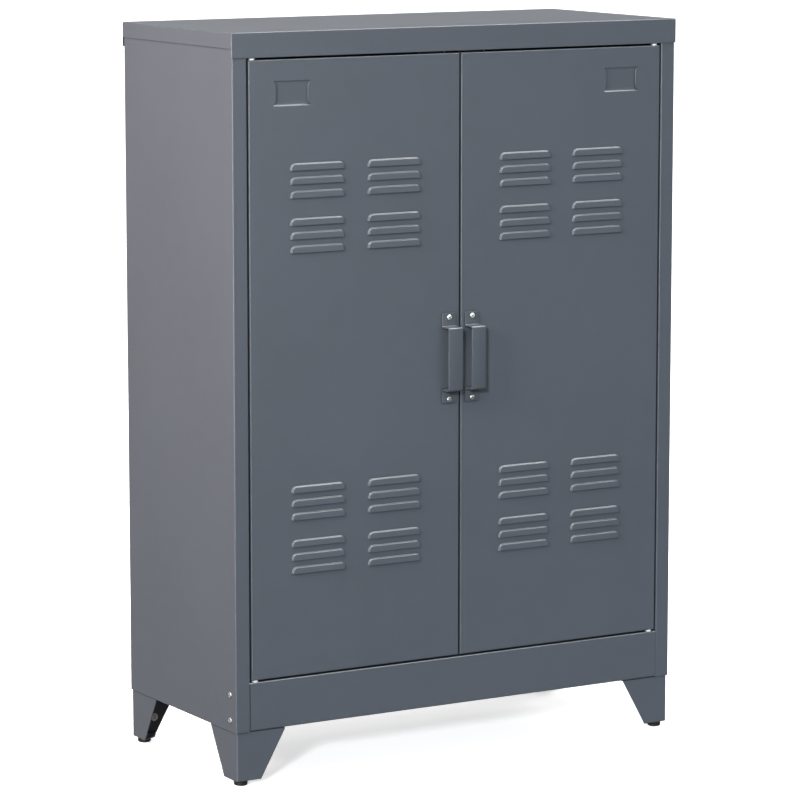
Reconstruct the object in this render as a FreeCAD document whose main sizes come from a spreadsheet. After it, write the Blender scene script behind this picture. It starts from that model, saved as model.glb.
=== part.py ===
import FreeCAD, Part
import math
import os

import Sketcher
from FreeCAD import Placement, Rotation, Vector

# Two-door metal tool cabinet on four legs.
# X runs across the width, Y from front to back, Z up from the floor, all in millimetres.
# The origin is on the floor, under the middle of everything that the cabinet takes up.
# Inside this file Y is counted from the front face of the stiles and doors,
# and each sub-part's Placement moves it to the part frame.

SIZES = [
    # overall
    ("total_height", 1150),
    ("lid_width", 800),
    ("lid_depth", 360),
    ("lid_overhang", 1.5),
    ("lid_skirt_front", 38),
    ("lid_skirt_side", 24),
    ("body_clearance", 85),
    # folded sheet
    ("sheet_gauge", 0.8),
    ("bend_inner", 1.2),
    ("pan_fold", 1.6),
    ("seam_gap", 0.3),
    ("lap_play", 0.2),
    ("hole_play", 0.05),
    ("cut_overrun", 1),
    # side panels
    ("stile_width", 25),
    ("stile_return", 38),
    ("side_flange", 22),
    ("side_flange_setback", 6),
    ("notch_play", 0.5),
    # rails
    ("plinth_rise", 0.6),
    ("plinth_height", 75.4),
    ("head_height", 38),
    ("rail_flange", 32),
    ("head_flange", 40),
    ("rail_end_depth", 40),
    # floor panel
    ("floor_setback", 2),
    ("floor_side_flange", 12),
    # door stop
    ("stop_width", 90),
    ("stop_height", 11),
    ("stop_gauge", 1.2),
    # doors
    ("door_gap", 3),
    ("meeting_gap", 3.2),
    ("door_thickness", 18),
    ("door_lip", 20),
    ("pivot_inset", 8),
    ("pivot_setback", 6),
    # louvres
    ("louvre_width", 95),
    ("louvre_height", 11),
    ("louvre_rise", 3),
    ("louvre_bevel", 2),
    ("louvre_corner", 9),
    ("louvre_pitch", 20.8),
    ("louvre_group_pitch", 83.2),
    ("louvre_bottom_rise", 159),
    ("louvre_column_pitch", 134.8),
    ("louvre_top_drop", 167.8),
    # card holder
    ("card_width", 63.4),
    ("card_height", 38.4),
    ("card_lip", 5),
    ("card_lip_slope", 5),
    ("card_edge", 1.6),
    ("card_depth", 2.2),
    ("card_ledge", 2.5),
    ("card_from_top", 51),
    ("card_from_edge", 73.9),
    ("card_hidden_edge", 3),
    # door stiffener
    ("stiffener_crown", 20),
    ("stiffener_foot", 8),
    ("stiffener_depth", 13),
    ("stiffener_end_gap", 25),
    # handles
    ("handle_width", 25),
    ("handle_gauge", 2),
    ("handle_reach", 22.5),
    ("handle_length", 141),
    ("handle_tab", 20.5),
    ("handle_hole_inset", 6.5),
    ("handle_from_edge", 19.4),
    ("handle_bend", 1.2),
    ("handle_corner", 1.5),
    # machine screws and nuts
    ("screw_radius", 2),
    ("screw_head_radius", 4.2),
    ("screw_head_height", 2.4),
    ("screw_head_round", 1.5),
    ("flat_head_height", 1.5),
    ("flat_head_round", 1),
    ("recess_span", 4.4),
    ("recess_width", 1),
    ("recess_depth", 0.9),
    ("nut_flats", 7),
    ("nut_height", 3.2),
    ("thread_end", 1),
    ("tapping_length", 5),
    # side screws beside the plinth
    ("side_screw_setback", 19.7),
    ("side_screw_rise", 16),
    ("side_screw_spacing", 40),
    ("side_head_radius", 5),
    # back panel and lid screws
    ("back_margin", 2.5),
    ("back_screw_inset", 10),
    ("back_screw_start", 200),
    ("back_screw_top_drop", 89.2),
    ("back_low_screw_rise", 37.9),
    ("back_low_screw_pitch", 240),
    ("lid_screw_drop", 20),
    ("lid_screw_pitch", 300),
    # pivots
    ("pin_radius", 2.5),
    ("pin_reach", 9),
    ("pin_tip", 0.8),
    ("collar_radius", 4.5),
    ("collar_height", 2.5),
    ("running_gap", 0.05),
    ("bush_flange_radius", 4.75),
    ("bush_barrel_radius", 3.5),
    ("bush_barrel", 6),
    ("bush_axial_gap", 0.1),
    # legs
    ("leg_inset", 1.8),
    ("leg_gauge", 1.5),
    ("leg_top_width", 84),
    ("leg_foot_width", 42),
    ("leg_foot_corner", 27),
    ("leg_shoulder", 2.5),
    ("leg_flange", 22),
    ("leg_bend", 1.5),
    ("leg_top_fold", 2),
    ("leg_foot_fold", 1.2),
    ("leg_bolt_inset", 10),
    ("leg_bolt_start", 30),
    ("leg_bolt_spacing", 32),
    ("bolt_radius", 3),
    ("bolt_flats", 10),
    ("bolt_head_height", 4),
    ("bolt_nut_height", 5),
    # screw in the rear legs
    ("rear_screw_inset", 38.3),
    ("rear_screw_height", 34.4),
    ("rear_screw_head_radius", 6.5),
    ("rear_screw_head_height", 2),
    ("rear_screw_head_round", 0.8),
    ("rear_screw_end", 2),
    # levelling feet
    ("foot_height", 8.5),
    ("foot_radius", 10.5),
    ("foot_round", 2.5),
    ("foot_top_round", 0.8),
    ("foot_inset", 14),
    ("stud_radius", 3),
    ("stud_length", 24),
    ("stud_slot_width", 1.2),
    ("stud_slot_depth", 2),
    ("stud_seat", 2.5),
    ("stud_play", 0.3),
    ("foot_nut_height", 5),
    # shelves and clips
    ("shelf_setback", 26),
    ("shelf_rear_gap", 6),
    ("shelf_flange", 25),
    ("slot_setback", 28),
    ("slot_width", 10.8),
    ("slot_height", 2),
    ("slot_base", 260),
    ("slot_pitch", 50),
    ("slot_top_drop", 80),
    ("clip_gauge", 1.2),
    ("clip_width", 10),
    ("clip_drop", 10),
    ("clip_ledge", 14),
    ("clip_tongue", 3),
    ("clip_hook", 4),
    # magnetic catches and buffers
    ("catch_from_middle", 26),
    ("catch_width", 34),
    ("catch_depth", 15),
    ("catch_height", 14),
    ("catch_ear", 10),
    ("catch_ear_height", 2),
    ("catch_round", 1.2),
    ("catch_screw_radius", 1.6),
    ("catch_screw_head_radius", 3),
    ("catch_screw_head_height", 1.8),
    ("catch_screw_round", 0.8),
    ("magnet_width", 22),
    ("magnet_height", 8),
    ("magnet_depth", 9),
    ("catch_gap", 0.2),
    ("strike_width", 30),
    ("strike_height", 13),
    ("strike_gauge", 1.6),
    ("strike_drop", 2),
    ("strike_corner", 2),
    ("buffer_radius", 3.2),
    ("buffer_round", 0.6),
    ("buffer_gap", 0.05),
    ("buffer_from_middle", 32),
]

LOUVRE_ROWS = 3
GROUP_ROWS = 2
BLOCK_ROWS = 2
LOUVRE_COLUMNS = 2
LOWER_SHELF_SLOT = 4
UPPER_SHELF_SLOT = 10
BACK_SCREW_ROWS = 5
TOLERANCE = 1e-5

doc = FreeCAD.newDocument("tool_cabinet")


class Size:
    """A length with the expression that gives it from the sheet of sizes."""

    def __init__(self, value, text):
        self.value = value
        self.text = text

    def __add__(self, other):
        other = as_size(other)
        return Size(self.value + other.value, f"({self.text} + {other.text})")

    def __sub__(self, other):
        other = as_size(other)
        return Size(self.value - other.value, f"({self.text} - {other.text})")

    def __mul__(self, factor):
        return Size(self.value * factor, f"({self.text} * {factor})")

    def __truediv__(self, factor):
        return Size(self.value / factor, f"({self.text} / {factor})")

    def __neg__(self):
        return Size(-self.value, f"(0 - {self.text})")


def as_size(number):
    return number if isinstance(number, Size) else Size(float(number), str(number))


ZERO = as_size(0)


def make_sheet():
    """Write the driving dimensions into the sheet and return a Size for each."""
    table = doc.addObject("Spreadsheet::Sheet", "sizes")
    sizes = {}
    for line, (name, value) in enumerate(SIZES, start=1):
        table.set(f"A{line}", name)
        table.set(f"B{line}", str(value))
        table.setAlias(f"B{line}", name)
        sizes[name] = Size(float(value), f"sizes.{name}")
    doc.recompute()
    return sizes


class Named:
    """The driving dimensions as attributes."""

    def __init__(self, sizes):
        self.__dict__.update(sizes)


s = Named(make_sheet())

# Places that several sub-parts share

sheet = s.sheet_gauge
side_face = s.lid_width / 2 - s.lid_overhang
side_inner = side_face - sheet
stile_edge = side_face - s.stile_width
back_face = s.lid_depth - s.lid_overhang * 2
carcass_depth = back_face - sheet
lid_under = s.total_height - sheet
lid_rear = back_face + s.lid_overhang
plinth_base = s.body_clearance + s.plinth_rise
plinth_top = plinth_base + s.plinth_height
head_base = lid_under - s.head_height
door_base = plinth_top + s.door_gap
door_top = head_base - s.door_gap
door_middle = (door_base + door_top) / 2
door_outer = stile_edge - s.door_gap
door_inner = s.meeting_gap / 2
door_centre = (door_outer + door_inner) / 2
pivot_x = door_outer - s.pivot_inset
floor_front = s.door_thickness + s.floor_setback
floor_top = plinth_top + sheet
handle_x = door_inner + s.handle_from_edge
handle_hole = s.handle_length / 2 - s.handle_hole_inset
front_plane = (s.handle_reach - lid_rear - s.flat_head_height) / 2
leg_face = side_face - s.leg_inset
leg_rear = back_face - s.leg_inset
leg_top_under = s.body_clearance - s.leg_gauge
leg_plate_top = s.foot_height + s.leg_gauge
screw_hole = s.screw_radius + s.hole_play
bolt_hole = s.bolt_radius + s.hole_play
shelf_edge = stile_edge - s.clip_gauge - s.seam_gap
louvre_low = door_base + s.louvre_bottom_rise
louvre_block = s.louvre_group_pitch * (GROUP_ROWS - 1) + s.louvre_pitch * (LOUVRE_ROWS - 1)
louvre_block_pitch = door_top - s.louvre_top_drop - louvre_block - louvre_low
back_screw_pitch = (lid_under - s.back_screw_top_drop - s.back_screw_start) / (BACK_SCREW_ROWS - 1)
slot_room = head_base - s.slot_top_drop - s.slot_base
clip_slots = int(slot_room.value / s.slot_pitch.value) + 1


def set_size(item, path, size):
    """Bind a property of an object to the sheet."""
    if size.text not in ("0", "0.0"):
        item.setExpression(path, size.text)


def move(item, x=ZERO, y=ZERO, z=ZERO, turn=None):
    """Turn an object, and place it with Y counted from the front face."""
    y = front_plane + y
    item.Placement = Placement(Vector(x.value, y.value, z.value), turn or Rotation())
    set_size(item, "Placement.Base.x", x)
    set_size(item, "Placement.Base.y", y)
    set_size(item, "Placement.Base.z", z)
    return item


def new_body(label):
    body = doc.addObject("PartDesign::Body", label)
    body.Label = label
    return body


def origin_feature(body, role):
    return next(f for f in body.Origin.OriginFeatures if f.Role == role)


def folded(path, gauge, bend, material, sharp=()):
    """Outline of a strip of sheet folded along a path of its outer face.

    The path runs along the axes. material is 1 if the sheet lies left of the path, -1 if
    right. Corners whose number is in sharp get no bend radius.
    """
    steps = []
    for (u0, v0), (u1, v1) in zip(path, path[1:]):
        du, dv = u1.value - u0.value, v1.value - v0.value
        length = math.hypot(du, dv)
        steps.append((round(du / length), round(dv / length)))
    normals = [(-dv * material, du * material) for du, dv in steps]
    outer, offset = [], []
    last = len(path) - 1
    for index, (u, v) in enumerate(path):
        if index == 0:
            shift, turn = normals[0], 0
        elif index == last:
            shift, turn = normals[-1], 0
        else:
            (au, av), (bu, bv) = normals[index - 1], normals[index]
            (cu, cv), (du, dv) = steps[index - 1], steps[index]
            shift, turn = (au + bu, av + bv), (cu * dv - cv * du) * material
        plain = turn == 0 or index in sharp
        outer_radius = None if plain else (bend + gauge if turn > 0 else bend)
        offset_radius = None if plain else (bend if turn > 0 else bend + gauge)
        outer.append((u, v, outer_radius))
        offset.append((u + gauge * shift[0], v + gauge * shift[1], offset_radius))
    return outer + offset[::-1]


def box(u0, u1, v0, v1):
    return [(u0, v0), (u1, v0), (u1, v1), (u0, v1)]


def ring(u, v, radius):
    return ("ring", u, v, radius)


def hexagon(flats):
    """Six corners of a hexagon about the origin, given its width across flats."""
    radius = flats / (2 * math.cos(math.pi / 6))
    turns = [math.pi / 3 * corner for corner in range(6)]
    return [(radius * round(math.cos(a), 9), radius * round(math.sin(a), 9)) for a in turns]


def add_outline(sketch, corners):
    """Closed outline of straight edges, with an arc at each corner that has a radius."""
    count = len(corners)
    points = [(c[0], c[1], c[2] if len(c) > 2 else None) for c in corners]
    starts, ends, arcs = [], [], []
    for index, (u, v, radius) in enumerate(points):
        if radius is None:
            starts.append((u, v))
            ends.append((u, v))
            arcs.append(None)
            continue
        pu, pv, _ = points[index - 1]
        nu, nv, _ = points[(index + 1) % count]
        back = unit(pu.value - u.value, pv.value - v.value)
        ahead = unit(nu.value - u.value, nv.value - v.value)
        first = (u + radius * back[0], v + radius * back[1])
        second = (u + radius * ahead[0], v + radius * ahead[1])
        middle = (first[0].value + second[0].value - u.value,
                  first[1].value + second[1].value - v.value)
        ends.append(first)
        starts.append(second)
        left_turn = back[1] * ahead[0] - back[0] * ahead[1] > 0
        arcs.append((middle, radius, left_turn))
    places, radii, joins = [], [], []
    base = sketch.GeometryCount
    for index in range(count):
        a, b = starts[index], ends[(index + 1) % count]
        sketch.addGeometry(Part.LineSegment(flat(a), flat(b)))
        places.append((base + index, 1, a))
        if arcs[(index + 1) % count] is None:
            joins.append((base + index, 2, base + (index + 1) % count, 1))
        else:
            places.append((base + index, 2, b))
    for index, arc in enumerate(arcs):
        if arc is None:
            continue
        (cu, cv), radius, left_turn = arc
        a, b = (ends[index], starts[index]) if left_turn else (starts[index], ends[index])
        circle = Part.Circle(Vector(cu, cv, 0), Vector(0, 0, 1), radius.value)
        low = math.atan2(a[1].value - cv, a[0].value - cu)
        high = math.atan2(b[1].value - cv, b[0].value - cu)
        number = sketch.addGeometry(Part.ArcOfCircle(circle, low, high))
        before, after = base + (index - 1) % count, base + index
        into, out = (1, 2) if left_turn else (2, 1)
        joins.append((before, 2, number, into))
        joins.append((after, 1, number, out))
        radii.append((number, radius))
    bind(sketch, places, radii, joins)


def unit(u, v):
    length = math.hypot(u, v)
    return round(u / length), round(v / length)


def flat(point):
    return Vector(point[0].value, point[1].value, 0)


def bind(sketch, places, radii, joins):
    """Tie points and radii of a sketch to the sheet."""
    rules = [Sketcher.Constraint("Coincident", *join) for join in joins]
    ties = []
    for number, end, (u, v) in places:
        for kind, size in (("DistanceX", u), ("DistanceY", v)):
            ties.append((len(rules), size))
            rules.append(Sketcher.Constraint(kind, -1, 1, number, end, size.value))
    for number, radius in radii:
        ties.append((len(rules), radius))
        rules.append(Sketcher.Constraint("Radius", number, radius.value))
    first = sketch.ConstraintCount
    sketch.addConstraint(rules)
    for index, size in ties:
        set_size(sketch, f"Constraints[{first + index}]", size)


def add_ring(sketch, u, v, radius):
    number = sketch.addGeometry(
        Part.Circle(Vector(u.value, v.value, 0), Vector(0, 0, 1), radius.value))
    bind(sketch, [(number, 3, (u, v))], [(number, radius)], [])


def new_sketch(body, name, plane, place, loops):
    """Sketch across X, Y or Z at a place along that axis."""
    sketch = body.newObject("Sketcher::SketchObject", name)
    sketch.AttachmentSupport = [(origin_feature(body, f"{plane}_Plane"), "")]
    sketch.MapMode = "FlatFace"
    along = -place if plane == "XZ" else place
    sketch.AttachmentOffset = Placement(Vector(0, 0, along.value), Rotation())
    set_size(sketch, "AttachmentOffset.Base.z", along)
    for loop in loops:
        if loop[0] == "ring":
            add_ring(sketch, *loop[1:])
        else:
            add_outline(sketch, loop)
    return sketch


def pad(body, name, plane, start, stop, *loops):
    """Add material from start to stop along the axis that the plane crosses."""
    sketch = new_sketch(body, f"{name}_sketch", plane, start, loops)
    feature = body.newObject("PartDesign::Pad", name)
    feature.Profile = sketch
    length = stop - start
    feature.Length = length.value
    set_size(feature, "Length", length)
    feature.Reversed = plane == "XZ"
    doc.recompute()
    return feature


def pocket(body, name, plane, start, stop, *loops):
    """Cut from start to stop along the axis that the plane crosses."""
    before = body.Tip.Shape.Volume
    place = start if plane == "XZ" else stop
    sketch = new_sketch(body, f"{name}_sketch", plane, place, loops)
    feature = body.newObject("PartDesign::Pocket", name)
    feature.Profile = sketch
    length = stop - start
    feature.Length = length.value
    set_size(feature, "Length", length)
    doc.recompute()
    if feature.Shape.Volume >= before:
        raise RuntimeError(f"{body.Label}: {name} cuts nothing")
    return feature


def turned(body, name, profile):
    """Solid of revolution about Z, from an outline of radius and height."""
    sketch = new_sketch(body, f"{name}_sketch", "XZ", ZERO, [profile])
    feature = body.newObject("PartDesign::Revolution", name)
    feature.Profile = sketch
    feature.ReferenceAxis = (sketch, ["V_Axis"])
    feature.Angle = 360
    doc.recompute()
    return feature


def lofted(body, name, kind, first, second):
    """Loft, added or cut, between two outlines across Y, each as (place, outline)."""
    sketches = [new_sketch(body, f"{name}_{which}", "XZ", place, [loop])
                for which, (place, loop) in (("foot", first), ("crown", second))]
    feature = body.newObject(f"PartDesign::{kind}Loft", name)
    feature.Profile = sketches[0]
    feature.Sections = [sketches[1]]
    feature.Ruled = True
    doc.recompute()
    return feature


def rounded(body, name, radius, *places):
    """Round the edges that lie at any of the given places, each a dict of axis to Size."""
    def wanted(edge):
        ends = [v.Point for v in edge.Vertexes]
        return any(all(abs(getattr(p, axis) - size.value) < TOLERANCE
                       for p in ends for axis, size in place.items()) for place in places)

    base = body.Tip
    names = [f"Edge{i}" for i, edge in enumerate(base.Shape.Edges, 1) if wanted(edge)]
    if not names:
        raise RuntimeError(f"{body.Label}: {name} finds no edge")
    feature = body.newObject("PartDesign::Fillet", name)
    feature.Base = (base, names)
    feature.Radius = radius.value
    set_size(feature, "Radius", radius)
    doc.recompute()
    return feature


def row(body, name, originals, role, step, count, tip=True):
    """Repeat features along an axis of the body."""
    feature = body.newObject("PartDesign::LinearPattern", name)
    if originals:
        feature.Originals = originals
    feature.Direction = (origin_feature(body, role), [""])
    feature.Mode = "Spacing"
    feature.Offset = step.value
    set_size(feature, "Offset", step)
    feature.Occurrences = count
    if tip:
        body.Tip = feature
        doc.recompute()
    return feature


def group(label, piece, places):
    """One node of equal pieces, each at (x, y, z, turn)."""
    links = []
    for number, (x, y, z, turn) in enumerate(places, start=1):
        link = doc.addObject("App::Link", f"{label}_{number}")
        link.LinkedObject = piece
        link.LinkTransform = False
        links.append(move(link, x, y, z, turn))
    compound = doc.addObject("Part::Compound", label)
    compound.Label = label
    compound.Links = links
    return compound


def mirror(label, source):
    """The piece on the other side of the cabinet."""
    twin = doc.addObject("Part::Mirroring", label)
    twin.Label = label
    twin.Source = source
    twin.Normal = Vector(1, 0, 0)
    twin.Base = Vector(0, 0, 0)
    return twin


FACE_FRONT = Rotation(Vector(1, 0, 0), 90)
FACE_BACK = Rotation(Vector(1, 0, 0), -90)
FACE_LEFT = Rotation(Vector(0, 1, 0), -90)
FACE_RIGHT = Rotation(Vector(0, 1, 0), 90)
FACE_DOWN = Rotation(Vector(1, 0, 0), 180)
HALF_TURN = Rotation(Vector(0, 0, 1), 180)


def make_side_panel(label):
    """Wall folded round the front into the stile and round the back into a flange."""
    body = new_body(label)
    path = [(-stile_edge, s.stile_return), (-stile_edge, ZERO), (-side_face, ZERO),
            (-side_face, carcass_depth), (-stile_edge, carcass_depth),
            (-stile_edge, carcass_depth - s.stile_return)]
    section = folded(path, sheet, s.bend_inner, -1)
    pad(body, "wall", "XY", s.body_clearance, lid_under, section)
    flange = box(-side_inner - sheet / 2, -side_face + s.side_flange,
                 s.side_flange_setback, carcass_depth - s.side_flange_setback)
    pad(body, "foot_flange", "XY", s.body_clearance, s.body_clearance + sheet, flange)
    pad(body, "head_flange", "XY", lid_under - sheet, lid_under, flange)
    fold = s.bend_inner + sheet
    front_return = box(-stile_edge - fold, -stile_edge + s.cut_overrun,
                       sheet, s.stile_return + s.cut_overrun)
    rear_return = box(-stile_edge - fold, -stile_edge + s.cut_overrun,
                      carcass_depth - s.stile_return - s.cut_overrun, carcass_depth - sheet)
    pocket(body, "plinth_notch", "XY", s.body_clearance - s.cut_overrun,
           plinth_top + s.notch_play, front_return, rear_return)
    pocket(body, "head_notch", "XY", head_base - s.notch_play,
           lid_under + s.cut_overrun, front_return, rear_return)
    low, high = s.slot_base - s.slot_height / 2, s.slot_base + s.slot_height / 2
    rear_slot = carcass_depth - s.slot_setback
    slots = pocket(body, "clip_slots", "YZ", -stile_edge - sheet - s.lap_play,
                   -stile_edge + s.lap_play,
                   box(s.slot_setback - s.slot_width / 2, s.slot_setback + s.slot_width / 2,
                       low, high),
                   box(rear_slot - s.slot_width / 2, rear_slot + s.slot_width / 2, low, high))
    row(body, "clip_slot_rows", [slots], "Z_Axis", s.slot_pitch, clip_slots)
    pocket(body, "side_screw_holes", "YZ", -side_face - s.lap_play, -side_inner + s.lap_play,
           *[ring(s.side_screw_setback, z, screw_hole) for z in side_screw_heights()])
    pocket(body, "leg_bolt_holes", "XY", s.body_clearance - s.lap_play,
           s.body_clearance + sheet + s.lap_play,
           *[ring(-leg_face + s.leg_bolt_inset, y, bolt_hole) for y in leg_bolt_rows()])
    first = pocket(body, "back_screw_holes", "XZ", carcass_depth - sheet - s.lap_play,
                   carcass_depth + s.lap_play,
                   ring(-side_face + s.back_screw_inset, s.back_screw_start, screw_hole))
    row(body, "back_screw_rows", [first], "Z_Axis", back_screw_pitch, BACK_SCREW_ROWS)
    return move(body)


def side_screw_heights():
    low = plinth_base + s.side_screw_rise
    return [low, low + s.side_screw_spacing]


def leg_bolt_rows():
    near = s.leg_inset + s.leg_bolt_start
    rows = [near, near + s.leg_bolt_spacing]
    return rows + [back_face - y for y in rows]


def make_rail(label, base, top, base_depth, top_depth):
    """Rail between the stiles, with ends joggled behind them and turned back at the sides."""
    body = new_body(label)
    edge = stile_edge - s.seam_gap
    joggle = sheet + s.lap_play
    fold = s.bend_inner + sheet
    path = [(base_depth, base), (ZERO, base), (ZERO, top), (top_depth, top)]
    pad(body, "web", "YZ", -edge, edge, folded(path, sheet, s.bend_inner, -1))
    left = [(-side_inner, s.rail_end_depth), (-side_inner, joggle), (-edge, joggle),
            (-edge, ZERO), (-edge + fold, ZERO)]
    right = [(-u, v) for u, v in left]
    pad(body, "ends", "XY", base + fold, top - fold,
        folded(left, sheet, s.bend_inner, 1, sharp=(2, 3)),
        folded(right, sheet, s.bend_inner, -1, sharp=(2, 3)))
    return body


def rail_bush_holes(body, place):
    """Holes for the pivot bushes in the flange whose outer face is at the place."""
    hole = s.bush_barrel_radius + s.hole_play
    pocket(body, "bush_holes", "XY", place - sheet - s.lap_play, place + sheet + s.lap_play,
           ring(-pivot_x, s.pivot_setback, hole), ring(pivot_x, s.pivot_setback, hole))


def rail_side_holes(body):
    """Holes for the side screws through both end flanges."""
    reach = side_inner + s.lap_play
    rings = [ring(s.side_screw_setback, z, screw_hole) for z in side_screw_heights()]
    pocket(body, "left_screw_holes", "YZ", -reach, -side_inner + sheet + s.lap_play, *rings)
    pocket(body, "right_screw_holes", "YZ", side_inner - sheet - s.lap_play, reach, *rings)


def make_plinth_rail(label, is_front):
    body = make_rail(label, plinth_base, plinth_top, s.rail_flange, s.rail_flange)
    if is_front:
        rail_bush_holes(body, plinth_top)
        rail_side_holes(body)
        return move(body)
    pocket(body, "back_low_screw_holes", "XZ", -s.lap_play, sheet + s.lap_play,
           *[ring(x, plinth_base + s.back_low_screw_rise, screw_hole)
             for x in spread(s.back_low_screw_pitch)])
    return move(body, y=carcass_depth, turn=HALF_TURN)


def make_head_rail(label, is_front):
    body = make_rail(label, head_base, lid_under, s.head_flange, s.rail_flange)
    if is_front:
        rail_bush_holes(body, head_base)
        hole = s.catch_screw_radius + s.hole_play
        pocket(body, "catch_screw_holes", "XY", head_base - s.lap_play,
               head_base + sheet + s.lap_play,
               *[ring(x, catch_y(), hole) for x in catch_screw_places()])
        return move(body)
    pocket(body, "lid_screw_holes", "XZ", -s.lap_play, sheet + s.lap_play,
           *[ring(x, lid_under - s.lid_screw_drop, screw_hole)
             for x in spread(s.lid_screw_pitch)])
    return move(body, y=carcass_depth, turn=HALF_TURN)


def spread(pitch):
    """Three places about the middle."""
    return [-pitch, ZERO, pitch]


def make_back_panel():
    body = new_body("back_panel")
    edge = side_face - s.back_margin
    pad(body, "sheet", "XZ", carcass_depth, back_face, box(-edge, edge, plinth_base,
                                                           lid_under - s.seam_gap))
    screw_x = side_face - s.back_screw_inset
    start, stop = carcass_depth - s.lap_play, back_face + s.lap_play
    first = pocket(body, "edge_holes", "XZ", start, stop,
                   ring(-screw_x, s.back_screw_start, screw_hole),
                   ring(screw_x, s.back_screw_start, screw_hole))
    row(body, "edge_hole_rows", [first], "Z_Axis", back_screw_pitch, BACK_SCREW_ROWS)
    rings = [ring(x, plinth_base + s.back_low_screw_rise, screw_hole)
             for x in spread(s.back_low_screw_pitch)]
    rings += [ring(x, lid_under - s.lid_screw_drop, screw_hole)
              for x in spread(s.lid_screw_pitch)]
    pocket(body, "rail_holes", "XZ", start, stop, *rings)
    return move(body)


def make_lid():
    """Top sheet with a skirt turned down on all sides, shallower at the sides."""
    body = new_body("lid")
    half = s.lid_width / 2
    front, rear = -s.lid_overhang, lid_rear
    skirt_base = s.total_height - s.lid_skirt_front
    pad(body, "block", "XY", skirt_base, s.total_height, box(-half, half, front, rear))
    upright = [{"x": x, "y": y} for x in (-half, half) for y in (front, rear)]
    rounded(body, "folds", s.pan_fold, {"z": s.total_height}, *upright)
    pocket(body, "inside", "XY", skirt_base - s.cut_overrun, lid_under,
           box(-half + sheet, half - sheet, front + sheet, rear - sheet))
    side_base = s.total_height - s.lid_skirt_side
    for name, low, high in (("left", -half - s.cut_overrun, -half + s.pan_fold),
                            ("right", half - s.pan_fold, half + s.cut_overrun)):
        pocket(body, f"{name}_skirt_cut", "XY", skirt_base - s.cut_overrun, side_base,
               box(low, high, front + s.pan_fold, rear - s.pan_fold))
    pocket(body, "screw_holes", "XZ", rear - sheet - s.lap_play, rear + s.lap_play,
           *[ring(x, lid_under - s.lid_screw_drop, screw_hole)
             for x in spread(s.lid_screw_pitch)])
    return move(body)


def make_floor_panel():
    """Tray on the two plinth rails, notched round the corner returns and the door stop."""
    body = new_body("floor_panel")
    narrow = stile_edge - s.seam_gap
    wide = side_inner - s.seam_gap
    near = s.stile_return + s.notch_play
    far = carcass_depth - near
    rear = carcass_depth - sheet - s.lap_play
    notch, notch_rear = s.stop_width / 2 + s.seam_gap, s.rail_flange + s.seam_gap
    outline = [(-narrow, floor_front), (-notch, floor_front), (-notch, notch_rear),
               (notch, notch_rear), (notch, floor_front), (narrow, floor_front), (narrow, near),
               (wide, near), (wide, far), (narrow, far), (narrow, rear), (-narrow, rear),
               (-narrow, far), (-wide, far), (-wide, near), (-narrow, near)]
    pad(body, "sheet", "XY", plinth_top, floor_top, outline)
    flange_near = s.rail_end_depth + s.floor_setback
    flange_far = carcass_depth - flange_near
    pad(body, "side_flanges", "XY", plinth_top - s.floor_side_flange, plinth_top,
        box(-wide, -wide + sheet, flange_near, flange_far),
        box(wide - sheet, wide, flange_near, flange_far))
    return move(body)


def make_door_stop():
    """Angle spot-welded to the front plinth rail, for both doors to close against."""
    body = new_body("door_stop")
    path = [(s.rail_flange, plinth_top), (floor_front, plinth_top),
            (floor_front, floor_top + s.stop_height)]
    pad(body, "angle", "YZ", -s.stop_width / 2, s.stop_width / 2,
        folded(path, s.stop_gauge, s.bend_inner, -1))
    return move(body)


def make_shelf(label, slot):
    """Tray whose down-turned edges rest on the clips in the numbered slots."""
    body = new_body(label)
    base = clip_ledge_top(slot)
    top = base + s.shelf_flange
    front, rear = s.shelf_setback, carcass_depth - s.shelf_rear_gap
    pad(body, "block", "XY", base, top, box(-shelf_edge, shelf_edge, front, rear))
    rounded(body, "folds", s.pan_fold, {"z": top})
    pocket(body, "inside", "XY", base - s.cut_overrun, top - sheet,
           box(-shelf_edge + sheet, shelf_edge - sheet, front + sheet, rear - sheet))
    return move(body)


def clip_height(slot):
    """Middle of the tongue of a clip that hangs in the numbered slot."""
    return (s.slot_base + s.slot_pitch * slot - (s.slot_height - s.clip_gauge) / 2
            + s.hole_play)


def clip_ledge_top(slot):
    return clip_height(slot) - s.clip_gauge / 2 - s.clip_drop + s.clip_gauge


def make_clip():
    """Clip hooked through a slot, with a ledge for the shelf.

    X points into the cabinet from the face of the slotted return, Z is up from the slot.
    """
    body = new_body("clip_pattern")
    half = s.clip_gauge / 2
    back = -sheet - s.clip_tongue
    outline = [(back, -s.clip_hook), (back + s.clip_gauge, -s.clip_hook),
               (back + s.clip_gauge, -half), (ZERO, -half), (ZERO, -half - s.clip_drop),
               (s.clip_ledge, -half - s.clip_drop),
               (s.clip_ledge, -half - s.clip_drop + s.clip_gauge),
               (s.clip_gauge, -half - s.clip_drop + s.clip_gauge), (s.clip_gauge, half),
               (back, half)]
    pad(body, "strip", "XZ", -s.clip_width / 2, s.clip_width / 2, outline)
    return body


def make_clips():
    """Four clips under each shelf."""
    rear = carcass_depth - s.slot_setback
    places = [(x, y, clip_height(slot), turn) for slot in (LOWER_SHELF_SLOT, UPPER_SHELF_SLOT)
              for x, turn in ((-stile_edge, None), (stile_edge, HALF_TURN))
              for y in (s.slot_setback, rear)]
    return group("shelf_clips", make_clip(), places)


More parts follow.
